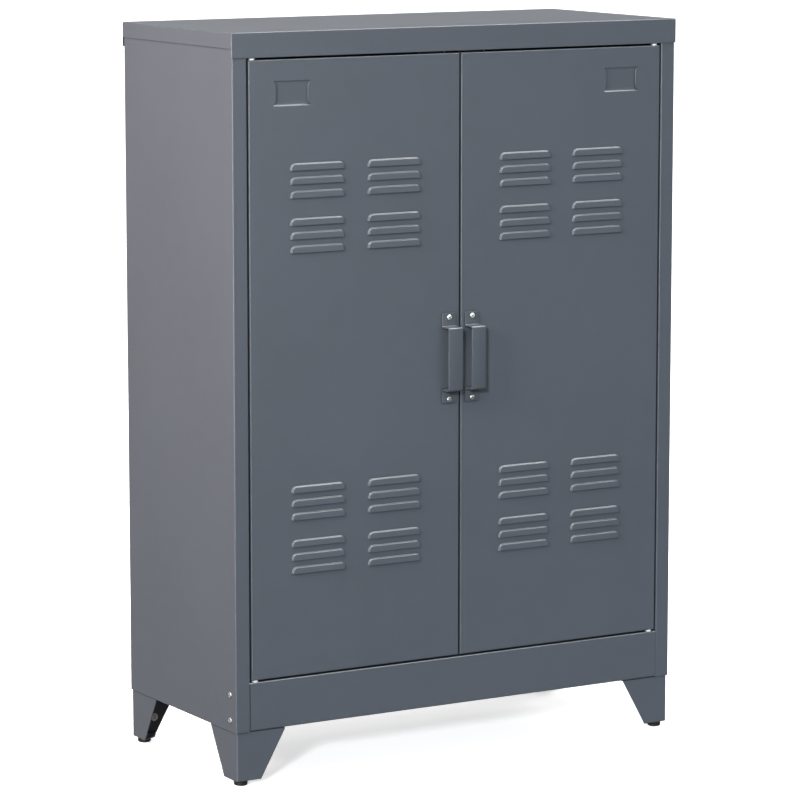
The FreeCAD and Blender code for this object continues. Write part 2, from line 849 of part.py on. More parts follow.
def make_door(label):
    """Pan with turned-in lips, pressed louvres and a pressed card holder."""
    body = new_body(label)
    left, right = -door_outer, -door_inner
    deep = s.door_thickness
    pad(body, "block", "XZ", ZERO, deep, box(left, right, door_base, door_top))
    rounded(body, "folds", s.pan_fold, {"y": ZERO}, {"y": deep})
    lip = s.door_lip
    pocket(body, "window", "XZ", deep - sheet, deep + s.cut_overrun,
           box(left + lip, right - lip, door_base + lip, door_top - lip))
    pocket(body, "inside", "XZ", sheet, deep - sheet,
           box(left + sheet, right - sheet, door_base + sheet, door_top - sheet))
    press_card_holder(body)
    press_louvres(body)
    hole = s.pin_radius + s.hole_play
    pivot = ring(-pivot_x, s.pivot_setback, hole)
    pocket(body, "low_pin_hole", "XY", door_base - s.lap_play, door_base + sheet + s.lap_play,
           pivot)
    pocket(body, "high_pin_hole", "XY", door_top - sheet - s.lap_play, door_top + s.lap_play,
           pivot)
    pocket(body, "handle_holes", "XZ", -s.lap_play, sheet + s.lap_play,
           *[ring(-handle_x, z, screw_hole) for z in handle_screw_heights()])
    return move(body)


def press_card_holder(body):
    """Opening with two side lips, over a pressed-in strip that holds a card."""
    u = -door_outer + s.card_from_edge
    v = door_top - s.card_from_top
    half, tall = s.card_width / 2, s.card_height / 2
    waist = half - s.card_lip
    edge, knee = tall - s.card_edge, tall - s.card_edge - s.card_lip_slope
    right = [(half, -tall), (half, -edge), (waist, -knee), (waist, knee), (half, edge),
             (half, tall)]
    outline = [(u + a, v + b) for a, b in right] + [(u - a, v + b) for a, b in right[::-1]]
    pocket(body, "card_opening", "XZ", -s.lap_play, sheet + s.lap_play, outline)
    deep, ledge = s.card_depth, s.card_ledge
    rim = sheet / 2
    low = [(ZERO, v - tall), (sheet, v - tall - rim), (deep + sheet, v - tall + ledge - rim)]
    high = [(deep + sheet, v + tall - ledge + rim), (sheet, v + tall + rim), (ZERO, v + tall),
            (deep, v + tall - ledge), (deep, v - tall + ledge)]
    reach = half + s.card_hidden_edge
    pad(body, "card_strip", "YZ", u - reach, u + reach, low + high)


def press_louvres(body):
    """Hoods open at the bottom, in groups of rows, repeated over the door."""
    low = louvre_low
    left = -door_centre - s.louvre_column_pitch / 2 - s.louvre_width / 2
    outer = louvre_outline(left, left + s.louvre_width, low, low + s.louvre_height,
                           s.louvre_corner)
    bevel = s.louvre_bevel
    crown = louvre_outline(left + bevel, left + s.louvre_width - bevel, low,
                           low + s.louvre_height - bevel, s.louvre_corner - bevel)
    hood = lofted(body, "louvre_hood", "Additive", (ZERO, outer), (-s.louvre_rise, crown))
    hollow_foot = louvre_outline(left + sheet, left + s.louvre_width - sheet, low,
                                 low + s.louvre_height - sheet, s.louvre_corner - sheet)
    inset = bevel + sheet
    hollow_crown = louvre_outline(left + inset, left + s.louvre_width - inset, low,
                                  low + s.louvre_height - inset, s.louvre_corner - inset)
    hollow = lofted(body, "louvre_hollow", "Subtractive", (sheet, hollow_foot),
                    (sheet - s.louvre_rise, hollow_crown))
    rows = [row(body, "louvre_rows", None, "Z_Axis", s.louvre_pitch, LOUVRE_ROWS, False),
            row(body, "louvre_groups", None, "Z_Axis", s.louvre_group_pitch,
                GROUP_ROWS, False),
            row(body, "louvre_blocks", None, "Z_Axis", louvre_block_pitch, BLOCK_ROWS, False),
            row(body, "louvre_columns", None, "X_Axis", s.louvre_column_pitch,
                LOUVRE_COLUMNS, False)]
    grid = body.newObject("PartDesign::MultiTransform", "louvre_grid")
    grid.Originals = [hood, hollow]
    grid.Transformations = rows
    body.Tip = grid
    doc.recompute()


def louvre_outline(left, right, low, high, corner):
    """Flat at the bottom, with quarter-round upper corners."""
    return [(left, low), (right, low), (right, high, corner), (left, high, corner)]


def handle_screw_heights():
    return [door_middle - handle_hole, door_middle + handle_hole]


def make_stiffener(label):
    """Channel spot-welded inside the door, between the louvre columns."""
    body = new_body(label)
    half, wide = s.stiffener_crown / 2, s.stiffener_crown / 2 + s.stiffener_foot
    crown = sheet + s.stiffener_depth
    path = [(-wide, sheet), (-half, sheet), (-half, crown), (half, crown), (half, sheet),
            (wide, sheet)]
    section = folded([(u - door_centre, v) for u, v in path], sheet, s.bend_inner, 1)
    pad(body, "channel", "XY", door_base + s.stiffener_end_gap,
        door_top - s.stiffener_end_gap, section)
    return move(body)


def make_handle(label):
    """Strip bent into a pull, with a flat tab at each end."""
    body = new_body(label)
    face = -s.handle_gauge
    out = -s.handle_reach
    end = s.handle_length / 2
    grip = end - s.handle_tab
    path = [(face, end), (face, grip), (out, grip), (out, -grip), (face, -grip), (face, -end)]
    half = s.handle_width / 2
    pad(body, "strip", "YZ", -half, half, folded(path, s.handle_gauge, s.handle_bend, 1))
    corners = [{"x": x, "z": z} for x in (-half, half) for z in (-end, end)]
    rounded(body, "tab_corners", s.handle_corner, *corners)
    pocket(body, "holes", "XZ", face - s.lap_play, s.lap_play,
           ring(ZERO, -handle_hole, screw_hole), ring(ZERO, handle_hole, screw_hole))
    return move(body, x=-handle_x, z=door_middle)


def make_screw(label, radius, length, head_radius, head_height, head_round):
    """Cross-recess screw; the head stands on Z = 0 and the shank points down."""
    body = new_body(label)
    profile = [(ZERO, -length), (radius, -length), (radius, ZERO), (head_radius, ZERO),
               (head_radius, head_height), (ZERO, head_height)]
    turned(body, "blank", profile)
    rounded(body, "head_edge", head_round, {"z": head_height})
    arm, width = s.recess_span / 2, s.recess_width / 2
    cross = [(-arm, -width), (-width, -width), (-width, -arm), (width, -arm), (width, -width),
             (arm, -width), (arm, width), (width, width), (width, arm), (-width, arm),
             (-width, width), (-arm, width)]
    pocket(body, "recess", "XY", head_height - s.recess_depth, head_height + s.cut_overrun,
           cross)
    return body


def make_nut(label, flats, height, bore):
    body = new_body(label)
    pad(body, "hexagon", "XY", ZERO, height, hexagon(flats), ring(ZERO, ZERO, bore))
    return body


def make_leg_bolt():
    """Hexagon bolt; the head hangs below Z = 0 and the shank points up."""
    body = new_body("leg_bolt_pattern")
    pad(body, "head", "XY", -s.bolt_head_height, ZERO, hexagon(s.bolt_flats))
    length = s.leg_gauge + sheet + s.bolt_nut_height + s.thread_end
    pad(body, "shank", "XY", ZERO, length, ring(ZERO, ZERO, s.bolt_radius))
    return body


def make_bush():
    """Flanged nylon bush; the flange stands on Z = 0 and the barrel points down."""
    body = new_body("bush_pattern")
    bore = s.pin_radius + s.running_gap
    top = s.door_gap - s.bush_axial_gap
    profile = [(bore, -s.bush_barrel), (s.bush_barrel_radius, -s.bush_barrel),
               (s.bush_barrel_radius, ZERO), (s.bush_flange_radius, ZERO),
               (s.bush_flange_radius, top), (bore, top)]
    turned(body, "bush", profile)
    return body


def make_pin():
    """Pivot pin; Z = 0 is the outer face of the door edge, the pin points down."""
    body = new_body("pin_pattern")
    collar = sheet + s.collar_height
    tip = s.pin_radius - s.pin_tip
    profile = [(ZERO, -s.pin_reach), (tip, -s.pin_reach), (s.pin_radius, -s.pin_reach + s.pin_tip),
               (s.pin_radius, sheet), (s.collar_radius, sheet), (s.collar_radius, collar),
               (ZERO, collar)]
    turned(body, "pin", profile)
    return body


def placed(label, piece, x, y, z, turn=None):
    """A single copy of a turned piece, as a node of its own."""
    return group(label, piece, [(x, y, z, turn)])


def make_leg(label, is_rear):
    """Corner leg of L section; the outer corner is at X = 0, Y = 0 of the leg."""
    body = new_body(label)
    wide, foot = s.leg_top_width, s.leg_foot_width
    base, top = s.foot_height, s.body_clearance
    path = [(wide, ZERO), (ZERO, ZERO), (ZERO, wide)]
    pad(body, "walls", "XY", base, top, folded(path, s.leg_gauge, s.leg_bend, -1))
    edge = s.leg_gauge / 2
    pad(body, "top_flange", "XY", leg_top_under, top,
        [(edge, edge, s.leg_bend), (wide, edge), (wide, s.leg_flange),
         (s.leg_flange, s.leg_flange), (s.leg_flange, wide), (edge, wide)])
    tip = s.leg_foot_corner
    pad(body, "foot_plate", "XY", base, leg_plate_top,
        [(edge, edge, s.leg_bend), (foot, edge), (tip, tip), (edge, foot)])
    corner = s.leg_bend + s.leg_gauge
    fold_lines = [{"z": top, "x": ZERO}, {"z": top, "y": ZERO}]
    rounded(body, "top_fold", s.leg_top_fold, *fold_lines)
    shoulder = top - s.leg_shoulder
    slant = [(foot, base - s.cut_overrun), (foot, base), (wide, shoulder),
             (wide + s.cut_overrun, shoulder), (wide + s.cut_overrun, base - s.cut_overrun)]
    pocket(body, "front_slant", "XZ", -s.cut_overrun, corner, slant)
    pocket(body, "side_slant", "YZ", -s.cut_overrun, corner, slant)
    rounded(body, "foot_fold", s.leg_foot_fold, {"z": base, "x": ZERO}, {"z": base, "y": ZERO})
    pocket(body, "stud_hole", "XY", base - s.lap_play, leg_plate_top + s.lap_play,
           ring(s.foot_inset, s.foot_inset, s.stud_radius + s.stud_play))
    rows = [s.leg_bolt_start, s.leg_bolt_start + s.leg_bolt_spacing]
    pocket(body, "bolt_holes", "XY", leg_top_under - s.lap_play, top + s.lap_play,
           *[ring(s.leg_bolt_inset, y, bolt_hole) for y in rows])
    if is_rear:
        pocket(body, "rear_screw_hole", "XZ", -s.lap_play, s.leg_gauge + s.lap_play,
               ring(s.rear_screw_inset, s.rear_screw_height, bolt_hole))
        return move(body, x=leg_face, y=leg_rear, turn=HALF_TURN)
    return move(body, x=-leg_face, y=s.leg_inset)


def make_foot():
    """Round glide; Z = 0 is the floor."""
    body = new_body("foot_pattern")
    bore = s.stud_radius + s.hole_play
    profile = [(ZERO, ZERO), (s.foot_radius, ZERO), (s.foot_radius, s.foot_height),
               (bore, s.foot_height), (bore, s.stud_seat), (ZERO, s.stud_seat)]
    turned(body, "glide", profile)
    rounded(body, "floor_edge", s.foot_round, {"z": ZERO})
    rounded(body, "upper_edge", s.foot_top_round, {"z": s.foot_height, "x": s.foot_radius})
    return body


def make_stud():
    """Threaded stud moulded into the glide, with a driver slot in its upper end."""
    body = new_body("stud_pattern")
    top = s.foot_height + s.stud_length
    pad(body, "rod", "XY", s.stud_seat, top, ring(ZERO, ZERO, s.stud_radius))
    reach = s.stud_radius + s.cut_overrun
    pocket(body, "slot", "XY", top - s.stud_slot_depth, top + s.cut_overrun,
           box(-reach, reach, -s.stud_slot_width / 2, s.stud_slot_width / 2))
    return body


def foot_places():
    """The four glide centres, by name."""
    x = leg_face - s.foot_inset
    near, far = s.leg_inset + s.foot_inset, leg_rear - s.foot_inset
    return {"front_left": (-x, near), "front_right": (x, near),
            "rear_left": (-x, far), "rear_right": (x, far)}


def catch_y():
    return floor_front + s.catch_depth / 2


def catch_screw_places():
    ear = s.catch_width / 2 + s.catch_ear / 2
    middle = s.catch_from_middle + s.catch_ear
    return [x for side in (-middle, middle) for x in (side - ear, side + ear)]


def catch_x():
    return s.catch_from_middle + s.catch_ear


def make_catch_housing(label):
    """Housing under the head rail, with an ear at each end and an open front."""
    body = new_body(label)
    half, ear = s.catch_width / 2, s.catch_width / 2 + s.catch_ear
    deep = s.catch_depth / 2
    pad(body, "block", "XY", -s.catch_height, ZERO, box(-half, half, -deep, deep))
    rounded(body, "edges", s.catch_round, {"z": -s.catch_height})
    pad(body, "ears", "XY", -s.catch_ear_height, ZERO, box(-ear, ear, -deep, deep))
    wide, low, high = magnet_bounds()
    pocket(body, "magnet_bay", "XZ", -deep - s.lap_play, magnet_rear(),
           box(-wide - s.lap_play, wide + s.lap_play, low - s.lap_play, high + s.lap_play))
    hole = s.catch_screw_radius + s.hole_play
    place = half + s.catch_ear / 2
    pocket(body, "screw_holes", "XY", -s.catch_ear_height - s.lap_play, s.lap_play,
           ring(-place, ZERO, hole), ring(place, ZERO, hole))
    return move(body, x=-catch_x(), y=catch_y(), z=head_base)


def magnet_bounds():
    """Half width, base and top of the magnet, below the rail."""
    middle = -s.catch_height / 2 - s.catch_ear_height / 2
    return s.magnet_width / 2, middle - s.magnet_height / 2, middle + s.magnet_height / 2


def magnet_front():
    """Front face of the magnet, from the middle of the housing."""
    return s.door_thickness + s.strike_gauge + s.catch_gap - catch_y()


def magnet_rear():
    return magnet_front() + s.magnet_depth


def make_magnet(label):
    body = new_body(label)
    wide, low, high = magnet_bounds()
    pad(body, "block", "XZ", magnet_front(), magnet_rear(), box(-wide, wide, low, high))
    return move(body, x=-catch_x(), y=catch_y(), z=head_base)


def make_strike(label):
    """Steel plate on the lip of the door, facing the magnet."""
    body = new_body(label)
    half = s.strike_width / 2
    high = door_top - s.strike_drop
    low = high - s.strike_height
    start, stop = s.door_thickness, s.door_thickness + s.strike_gauge
    pad(body, "plate", "XZ", start, stop, box(-half, half, low, high))
    corners = [{"x": x, "z": z} for x in (-half, half) for z in (low, high)]
    rounded(body, "corners", s.strike_corner, *corners)
    return move(body, x=-catch_x())


def make_buffer(label):
    """Rubber buffer on the lip of the door, against the door stop."""
    body = new_body(label)
    z = floor_top + (s.stop_height + s.stop_gauge + s.bend_inner) / 2
    stop = floor_front - s.buffer_gap
    pad(body, "disc", "XZ", s.door_thickness, stop, ring(ZERO, ZERO, s.buffer_radius))
    rounded(body, "edge", s.buffer_round, {"y": stop})
    return move(body, x=-s.buffer_from_middle, z=z)


def make_frame_nodes():
    left = make_side_panel("side_panel_left")
    return [left, mirror("side_panel_right", left), make_back_panel(), make_lid(),
            make_head_rail("front_head_rail", True), make_head_rail("rear_head_rail", False),
            make_plinth_rail("front_plinth_rail", True),
            make_plinth_rail("rear_plinth_rail", False), make_floor_panel(), make_door_stop(),
            make_shelf("lower_shelf", LOWER_SHELF_SLOT),
            make_shelf("upper_shelf", UPPER_SHELF_SLOT), make_clips()]


def make_leg_nodes():
    front = make_leg("front_left_leg", False)
    rear = make_leg("rear_right_leg", True)
    bolt = make_leg_bolt()
    nut = make_nut("bolt_nut_pattern", s.bolt_flats, s.bolt_nut_height, bolt_hole)
    bolt_x = leg_face - s.leg_bolt_inset
    spots = [(x, y) for x in (-bolt_x, bolt_x) for y in leg_bolt_rows()]
    bolts = [(x, y, leg_top_under, None) for x, y in spots]
    nuts = [(x, y, s.body_clearance + sheet, None) for x, y in spots]
    foot_nut = make_nut("foot_nut_pattern", s.bolt_flats, s.foot_nut_height,
                        s.stud_radius + s.running_gap)
    feet = foot_places()
    foot_nuts = [(x, y, leg_plate_top, None) for x, y in feet.values()]
    rear_screw = make_screw("rear_screw_pattern", s.bolt_radius,
                            s.leg_gauge + s.rear_screw_end, s.rear_screw_head_radius,
                            s.rear_screw_head_height, s.rear_screw_head_round)
    rear_x = leg_face - s.rear_screw_inset
    rear_screws = [(x, leg_rear - s.leg_gauge, s.rear_screw_height, FACE_FRONT)
                   for x in (-rear_x, rear_x)]
    nodes = [front, mirror("front_right_leg", front), rear, mirror("rear_left_leg", rear),
             group("leg_bolts", bolt, bolts), group("leg_nuts", nut, nuts),
             group("foot_nuts", foot_nut, foot_nuts),
             group("rear_leg_screws", rear_screw, rear_screws)]
    glide, stud = make_foot(), make_stud()
    for name, (x, y) in feet.items():
        nodes.append(placed(f"{name}_glide", glide, x, y, ZERO))
        nodes.append(placed(f"{name}_stud", stud, x, y, ZERO))
    return nodes


def make_pivot_nodes():
    bush, pin = make_bush(), make_pin()
    nodes = []
    for side, x in (("left", -pivot_x), ("right", pivot_x)):
        y = s.pivot_setback
        nodes += [placed(f"{side}_lower_bush", bush, x, y, plinth_top),
                  placed(f"{side}_upper_bush", bush, x, y, head_base, FACE_DOWN),
                  placed(f"{side}_lower_pin", pin, x, y, door_base),
                  placed(f"{side}_upper_pin", pin, x, y, door_top, FACE_DOWN)]
    return nodes


def make_screw_nodes():
    flat_head = (s.screw_head_radius, s.flat_head_height, s.flat_head_round)
    side_length = sheet * 2 + s.nut_height + s.thread_end
    side_screw = make_screw("side_screw_pattern", s.screw_radius, side_length,
                            s.side_head_radius, s.flat_head_height, s.flat_head_round)
    tapping = make_screw("tapping_screw_pattern", s.screw_radius, s.tapping_length, *flat_head)
    lid_screw = make_screw("lid_screw_pattern", s.screw_radius,
                           s.lid_overhang + s.tapping_length, *flat_head)
    nut = make_nut("nut_pattern", s.nut_flats, s.nut_height, screw_hole)
    heights = side_screw_heights()
    y = s.side_screw_setback
    nut_x = side_inner - sheet
    side = [(x, y, z, turn) for x, turn in ((-side_face, FACE_LEFT), (side_face, FACE_RIGHT))
            for z in heights]
    side_nuts = [(x, y, z, turn) for x, turn in ((-nut_x, FACE_RIGHT), (nut_x, FACE_LEFT))
                 for z in heights]
    edge_x = side_face - s.back_screw_inset
    back = [(x, back_face, s.back_screw_start + back_screw_pitch * number, FACE_BACK)
            for x in (-edge_x, edge_x) for number in range(BACK_SCREW_ROWS)]
    back += [(x, back_face, plinth_base + s.back_low_screw_rise, FACE_BACK)
             for x in spread(s.back_low_screw_pitch)]
    lid = [(x, lid_rear, lid_under - s.lid_screw_drop, FACE_BACK)
           for x in spread(s.lid_screw_pitch)]
    return [group("side_screws", side_screw, side), group("side_screw_nuts", nut, side_nuts),
            group("back_panel_screws", tapping, back), group("lid_screws", lid_screw, lid)]


def make_door_nodes():
    length = s.handle_gauge + sheet + s.nut_height + s.thread_end
    screw = make_screw("handle_screw_pattern", s.screw_radius, length, s.screw_head_radius,
                       s.screw_head_height, s.screw_head_round)
    nut = make_nut("handle_nut_pattern", s.nut_flats, s.nut_height, screw_hole)
    heights = handle_screw_heights()
    screws = group("left_handle_screws", screw,
                   [(-handle_x, -s.handle_gauge, z, FACE_FRONT) for z in heights])
    nuts = group("left_handle_nuts", nut, [(-handle_x, sheet, z, FACE_BACK) for z in heights])
    left = [make_door("left_door"), make_stiffener("left_door_stiffener"),
            make_handle("left_handle"), screws, nuts, make_strike("left_strike_plate"),
            make_buffer("left_door_buffer")]
    return left + [mirror(piece.Label.replace("left", "right"), piece) for piece in left]


def make_catch_nodes():
    screw = make_screw("catch_screw_pattern", s.catch_screw_radius,
                       s.catch_ear_height + s.tapping_length, s.catch_screw_head_radius,
                       s.catch_screw_head_height, s.catch_screw_round)
    z = head_base - s.catch_ear_height
    screws = group("catch_screws", screw,
                   [(x, catch_y(), z, FACE_DOWN) for x in catch_screw_places()])
    left = [make_catch_housing("left_catch_housing"), make_magnet("left_catch_magnet")]
    right = [mirror(piece.Label.replace("left", "right"), piece) for piece in left]
    return left + right + [screws]


def check(nodes):
    """Stop if any object failed or any node isn't made of whole solids."""
    for item in doc.Objects:
        if any(word in item.State for word in ("Invalid", "Error")):
            raise RuntimeError(f"{item.Label}: {item.State}")
    for node in nodes:
        shape = node.Shape
        if shape.isNull() or not shape.isValid() or not shape.Solids:
            raise RuntimeError(f"{node.Label}: no valid solid")


def main():
    nodes = (make_frame_nodes() + make_leg_nodes() + make_pivot_nodes() + make_screw_nodes()
             + make_door_nodes() + make_catch_nodes())
    doc.recompute()
    check(nodes)
    os.makedirs("parts", exist_ok=True)
    for node in nodes:
        node.Shape.exportStep(os.path.join("parts", f"{node.Label}.step"))
        bounds = node.Shape.BoundBox
        print(f"{node.Label}: {len(node.Shape.Solids)} solids, volume {node.Shape.Volume:.0f}, "
              f"x {bounds.XMin:.1f}..{bounds.XMax:.1f}, y {bounds.YMin:.1f}..{bounds.YMax:.1f}, "
              f"z {bounds.ZMin:.1f}..{bounds.ZMax:.1f}")
    print(len(nodes), "nodes")


main()
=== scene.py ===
import math

import bmesh
import bpy
import numpy as np
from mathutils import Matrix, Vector


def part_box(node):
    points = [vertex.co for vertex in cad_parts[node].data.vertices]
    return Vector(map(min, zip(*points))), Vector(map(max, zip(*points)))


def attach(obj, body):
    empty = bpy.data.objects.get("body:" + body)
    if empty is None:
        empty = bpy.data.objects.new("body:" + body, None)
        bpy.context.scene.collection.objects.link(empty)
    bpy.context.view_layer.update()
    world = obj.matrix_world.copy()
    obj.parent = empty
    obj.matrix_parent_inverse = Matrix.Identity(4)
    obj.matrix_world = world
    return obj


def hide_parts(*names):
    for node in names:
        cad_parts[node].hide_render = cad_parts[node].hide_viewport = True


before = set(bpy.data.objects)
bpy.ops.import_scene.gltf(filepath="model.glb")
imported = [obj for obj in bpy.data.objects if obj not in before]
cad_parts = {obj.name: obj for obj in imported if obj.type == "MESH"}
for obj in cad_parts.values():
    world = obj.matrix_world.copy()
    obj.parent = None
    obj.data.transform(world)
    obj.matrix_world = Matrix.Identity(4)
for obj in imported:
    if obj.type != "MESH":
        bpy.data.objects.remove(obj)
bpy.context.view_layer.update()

MM = 0.001
SHEET = 0.8 * MM


# Camera

CAMERA_PLACE = (-3.1101, -5.2294, 1.4743)
CAMERA_YAW, CAMERA_PITCH = 30.674, 8.67
FOCAL_LENGTH, FILM_WIDTH = 173.676, 36
NEAREST, FARTHEST = 0.1, 100


def point_camera():
    """Camera at its place, turned right of straight ahead and tipped down by its angles."""
    turn, dip = math.radians(CAMERA_YAW), math.radians(CAMERA_PITCH)
    ahead = Vector((math.sin(turn) * math.cos(dip), math.cos(turn) * math.cos(dip),
                    -math.sin(dip)))
    data = bpy.data.cameras.new("camera")
    data.sensor_width, data.lens = FILM_WIDTH, FOCAL_LENGTH
    data.clip_start, data.clip_end = NEAREST, FARTHEST
    camera = bpy.data.objects.new("camera", data)
    camera.location = CAMERA_PLACE
    camera.rotation_mode = "QUATERNION"
    camera.rotation_quaternion = ahead.to_track_quat("-Z", "Y")
    bpy.context.scene.collection.objects.link(camera)
    bpy.context.scene.camera = camera


point_camera()


# Light

WHITE, PALE_BLUE, PEACH = (1, 1, 1), (0.93, 0.98, 1), (1, 0.81, 0.7)
REAR_WHITE, RIGHT_WHITE, SHINE_WHITE = (1, 0.99, 0.98), (1, 0.97, 0.94), (1, 0.99, 0.97)
CABINET_MIDDLE = Vector((0, -0.17, 0.75))
GROUND_GLOW, SKY_GLOW = (0.14, 0.13, 0.12, 1), (0.44, 0.44, 0.45, 1)
HORIZON_BLEND = 0.04


def hang_light(name, kind, place, target, power, colour):
    """Light of a kind at a place, facing its target."""
    data = bpy.data.lights.new(name, kind)
    data.energy = power
    data.color = colour
    light = bpy.data.objects.new(name, data)
    light.location = place
    light.rotation_mode = "QUATERNION"
    light.rotation_quaternion = (Vector(target) - Vector(place)).to_track_quat("-Z", "Y")
    bpy.context.scene.collection.objects.link(light)
    return light


def softbox(name, place, target, width, height, watts, colour, mirrored=False):
    """Rectangular studio light, mirrored in gloss or not."""
    light = hang_light(name, "AREA", place, target, watts, colour)
    light.visible_glossy = mirrored
    light.data.shape = "RECTANGLE"
    light.data.size, light.data.size_y = width, height
    return light


def distant_light(name, towards, strength, spread, colour, mirrored=False):
    """Even light from far away, from the direction of a point, over so many degrees."""
    light = hang_light(name, "SUN", towards, (0, 0, 0), strength, colour)
    light.visible_glossy = mirrored
    light.data.angle = math.radians(spread)


def shine(name, direction, distance, width, height, brightness):
    """Softbox that only shows as highlights on folds, bevels and metal."""
    place = CABINET_MIDDLE + Vector(direction).normalized() * distance
    watts = brightness * math.pi * width * height
    light = softbox(name, place, CABINET_MIDDLE, width, height, watts, SHINE_WHITE, True)
    light.visible_diffuse = False


def glowing_sky(name):
    """Even glow of the studio, darker below the horizon."""
    world = bpy.data.worlds.new(name)
    world.use_nodes = True
    sky = world.node_tree
    direction = sky.nodes.new("ShaderNodeTexCoord")
    height = sky.nodes.new("ShaderNodeSeparateXYZ")
    glow = sky.nodes.new("ShaderNodeValToRGB")
    ground, above = glow.color_ramp.elements
    ground.position, ground.color = 0, GROUND_GLOW
    above.position, above.color = HORIZON_BLEND, SKY_GLOW
    sky.links.new(direction.outputs["Generated"], height.inputs["Vector"])
    sky.links.new(height.outputs["Z"], glow.inputs["Fac"])
    sky.links.new(glow.outputs["Color"], sky.nodes["Background"].inputs["Color"])
    bpy.context.scene.world = world


softbox("left_softbox", (-2.2, -0.5, 1.75), (-0.4, -0.15, 1.2), 1.2, 1.2, 122, PEACH)
softbox("rear_softbox", (0.5, 3.9, 1.9), (0, 0.36, 0.6), 1.8, 1.8, 75, REAR_WHITE)
softbox("right_softbox", (3.2, 0.7, 1.9), (0, 0, 0.6), 1.6, 1.6, 75, RIGHT_WHITE)
softbox("front_softbox", (0, -4.4, 1.8), (0, 0, 0.7), 1.8, 1.8, 46, PALE_BLUE, True)
distant_light("key_light", (-0.63, -0.71, 0.33), 3.0, 6, PALE_BLUE)
distant_light("overhead_light", (0.1, 0, 1), 1.35, 60, WHITE, True)
shine("overhead_shine", (0.45, -0.3, 0.84), 4, 2.2, 2.2, 17)
shine("corner_shine", (-0.35, -0.45, 0.82), 4, 1.6, 1.6, 25)
shine("left_shine", (-0.85, -0.5, 0.05), 3.5, 1.0, 2.0, 14)
glowing_sky("studio")
bpy.context.scene.view_settings.view_transform = "Standard"


# Meshes

FOLD_CREASE, HARDWARE_CREASE = 32, 25
NEAR = 1e-7


def new_object(name, points, faces):
    """Object at the origin from points in metres and faces as lists of point numbers."""
    mesh = bpy.data.meshes.new(name)
    mesh.from_pydata(points, [], faces)
    mesh.update()
    piece = bpy.data.objects.new(name, mesh)
    bpy.context.scene.collection.objects.link(piece)
    return piece


def settle(piece, crease=FOLD_CREASE):
    """Apply the modifiers, and shade smooth except across edges sharper than the crease."""
    shaped = piece.evaluated_get(bpy.context.evaluated_depsgraph_get())
    mesh = bpy.data.meshes.new_from_object(shaped)
    piece.modifiers.clear()
    piece.data = mesh
    mesh.name = piece.name
    mesh.shade_smooth()
    mesh.set_sharp_from_angle(angle=math.radians(crease))


def thicken(piece, gauge):
    """Give an outer surface the thickness of the sheet, on its inner side."""
    wall = piece.modifiers.new("sheet", "SOLIDIFY")
    wall.thickness = gauge
    wall.offset = -1
    wall.use_even_offset = True
    settle(piece)


def smooth_step(t):
    """Cubic from 0 at 0 to 1 at 1, level at both ends: 3 t^2 - 2 t^3."""
    t = np.clip(t, 0, 1)
    return t * t * (3 - 2 * t)


def closed(rows):
    """Rows of point numbers, each with its first repeated at the end."""
    return np.concatenate([rows, rows[..., :1]], -1)


def quads(first, second):
    """Faces between two rows, or two stacks of rows, of point numbers."""
    return np.stack([first[..., :-1], second[..., :-1], second[..., 1:], first[..., 1:]], -1)


def turned_over(faces):
    """Four-cornered faces that look the other way, each from the same first corner."""
    return faces[..., [0, 3, 2, 1]]


class Net:
    """Points and faces gathered step by step. A point is known by its number."""

    def __init__(self):
        self.points, self.faces, self.count = [], [], 0

    def add(self, x, y, z):
        """Add points from arrays of one shape, and give their numbers in that shape."""
        x, y, z = np.broadcast_arrays(x, y, z)
        numbers = self.count + np.arange(x.size).reshape(x.shape)
        self.points.append(np.stack([x, y, z], -1).reshape(-1, 3))
        self.count += x.size
        return numbers

    def join(self, faces, flip=False):
        """Add faces, as an array whose last axis runs over the corners, reversed or not."""
        corners = np.asarray(faces)
        corners = corners.reshape(-1, corners.shape[-1])
        self.faces += (corners[:, ::-1] if flip else corners).tolist()

    def surface(self):
        """All points and all faces."""
        return np.concatenate(self.points), self.faces


def dress(piece, body, slot_name, *nodes):
    """Put a piece on its body in place of its nodes, with the finish of its slot."""
    piece.data.materials.clear()
    piece.data.materials.append(finishes[slot_name])
    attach(piece, body)
    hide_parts(*nodes)


# Floor

FLOOR_RADIUS, COVE_RADIUS, WALL_TOP = 30, 14, 40
COVE_SIDES, COVE_STEPS = 96, 12


def studio_cove():
    """Floor that curves up into a wall all round the studio.

    A flat disc, then a quarter circle and a straight rise carried round the middle.
    """
    around = np.arange(COVE_SIDES) * 2 * math.pi / COVE_SIDES
    rise = np.linspace(0, math.pi / 2, COVE_STEPS + 1)
    radius = np.append(FLOOR_RADIUS + COVE_RADIUS * np.sin(rise), FLOOR_RADIUS + COVE_RADIUS)
    height = np.append(COVE_RADIUS * (1 - np.cos(rise)), WALL_TOP)
    net = Net()
    number = net.add(np.outer(radius, np.cos(around)), np.outer(radius, np.sin(around)),
                     height[:, None])
    net.join([number[0]])
    net.join(quads(closed(number)[:-1], closed(number)[1:]))
    return net.surface()


floor = new_object("studio_floor", *studio_cove())
floor.data.shade_smooth()
floor.visible_diffuse = floor.visible_glossy = floor.visible_shadow = False


# Finishes

NOISE_LOW, NOISE_HIGH = 0.3, 0.7
FLAT_AGREES, EDGE_AGREES = 0.995, 0.8
OPEN_VIEW, SHUT_VIEW = 0.92, 0.45
BEVEL_SAMPLES, VIEW_SAMPLES = 4, 3
# Reaches of the painted shade in seams of the paint and recesses of the zinc
SEAM_REACH, RECESS_REACH = 4 * MM, 1.5 * MM
PAINT_EDGE, PLASTIC_EDGE = 0.7 * MM, 0.4 * MM
# Dark colour of the painted shade in zinc recesses
PAINTED_SHADE_DARK = (0.03, 0.03, 0.03, 1)

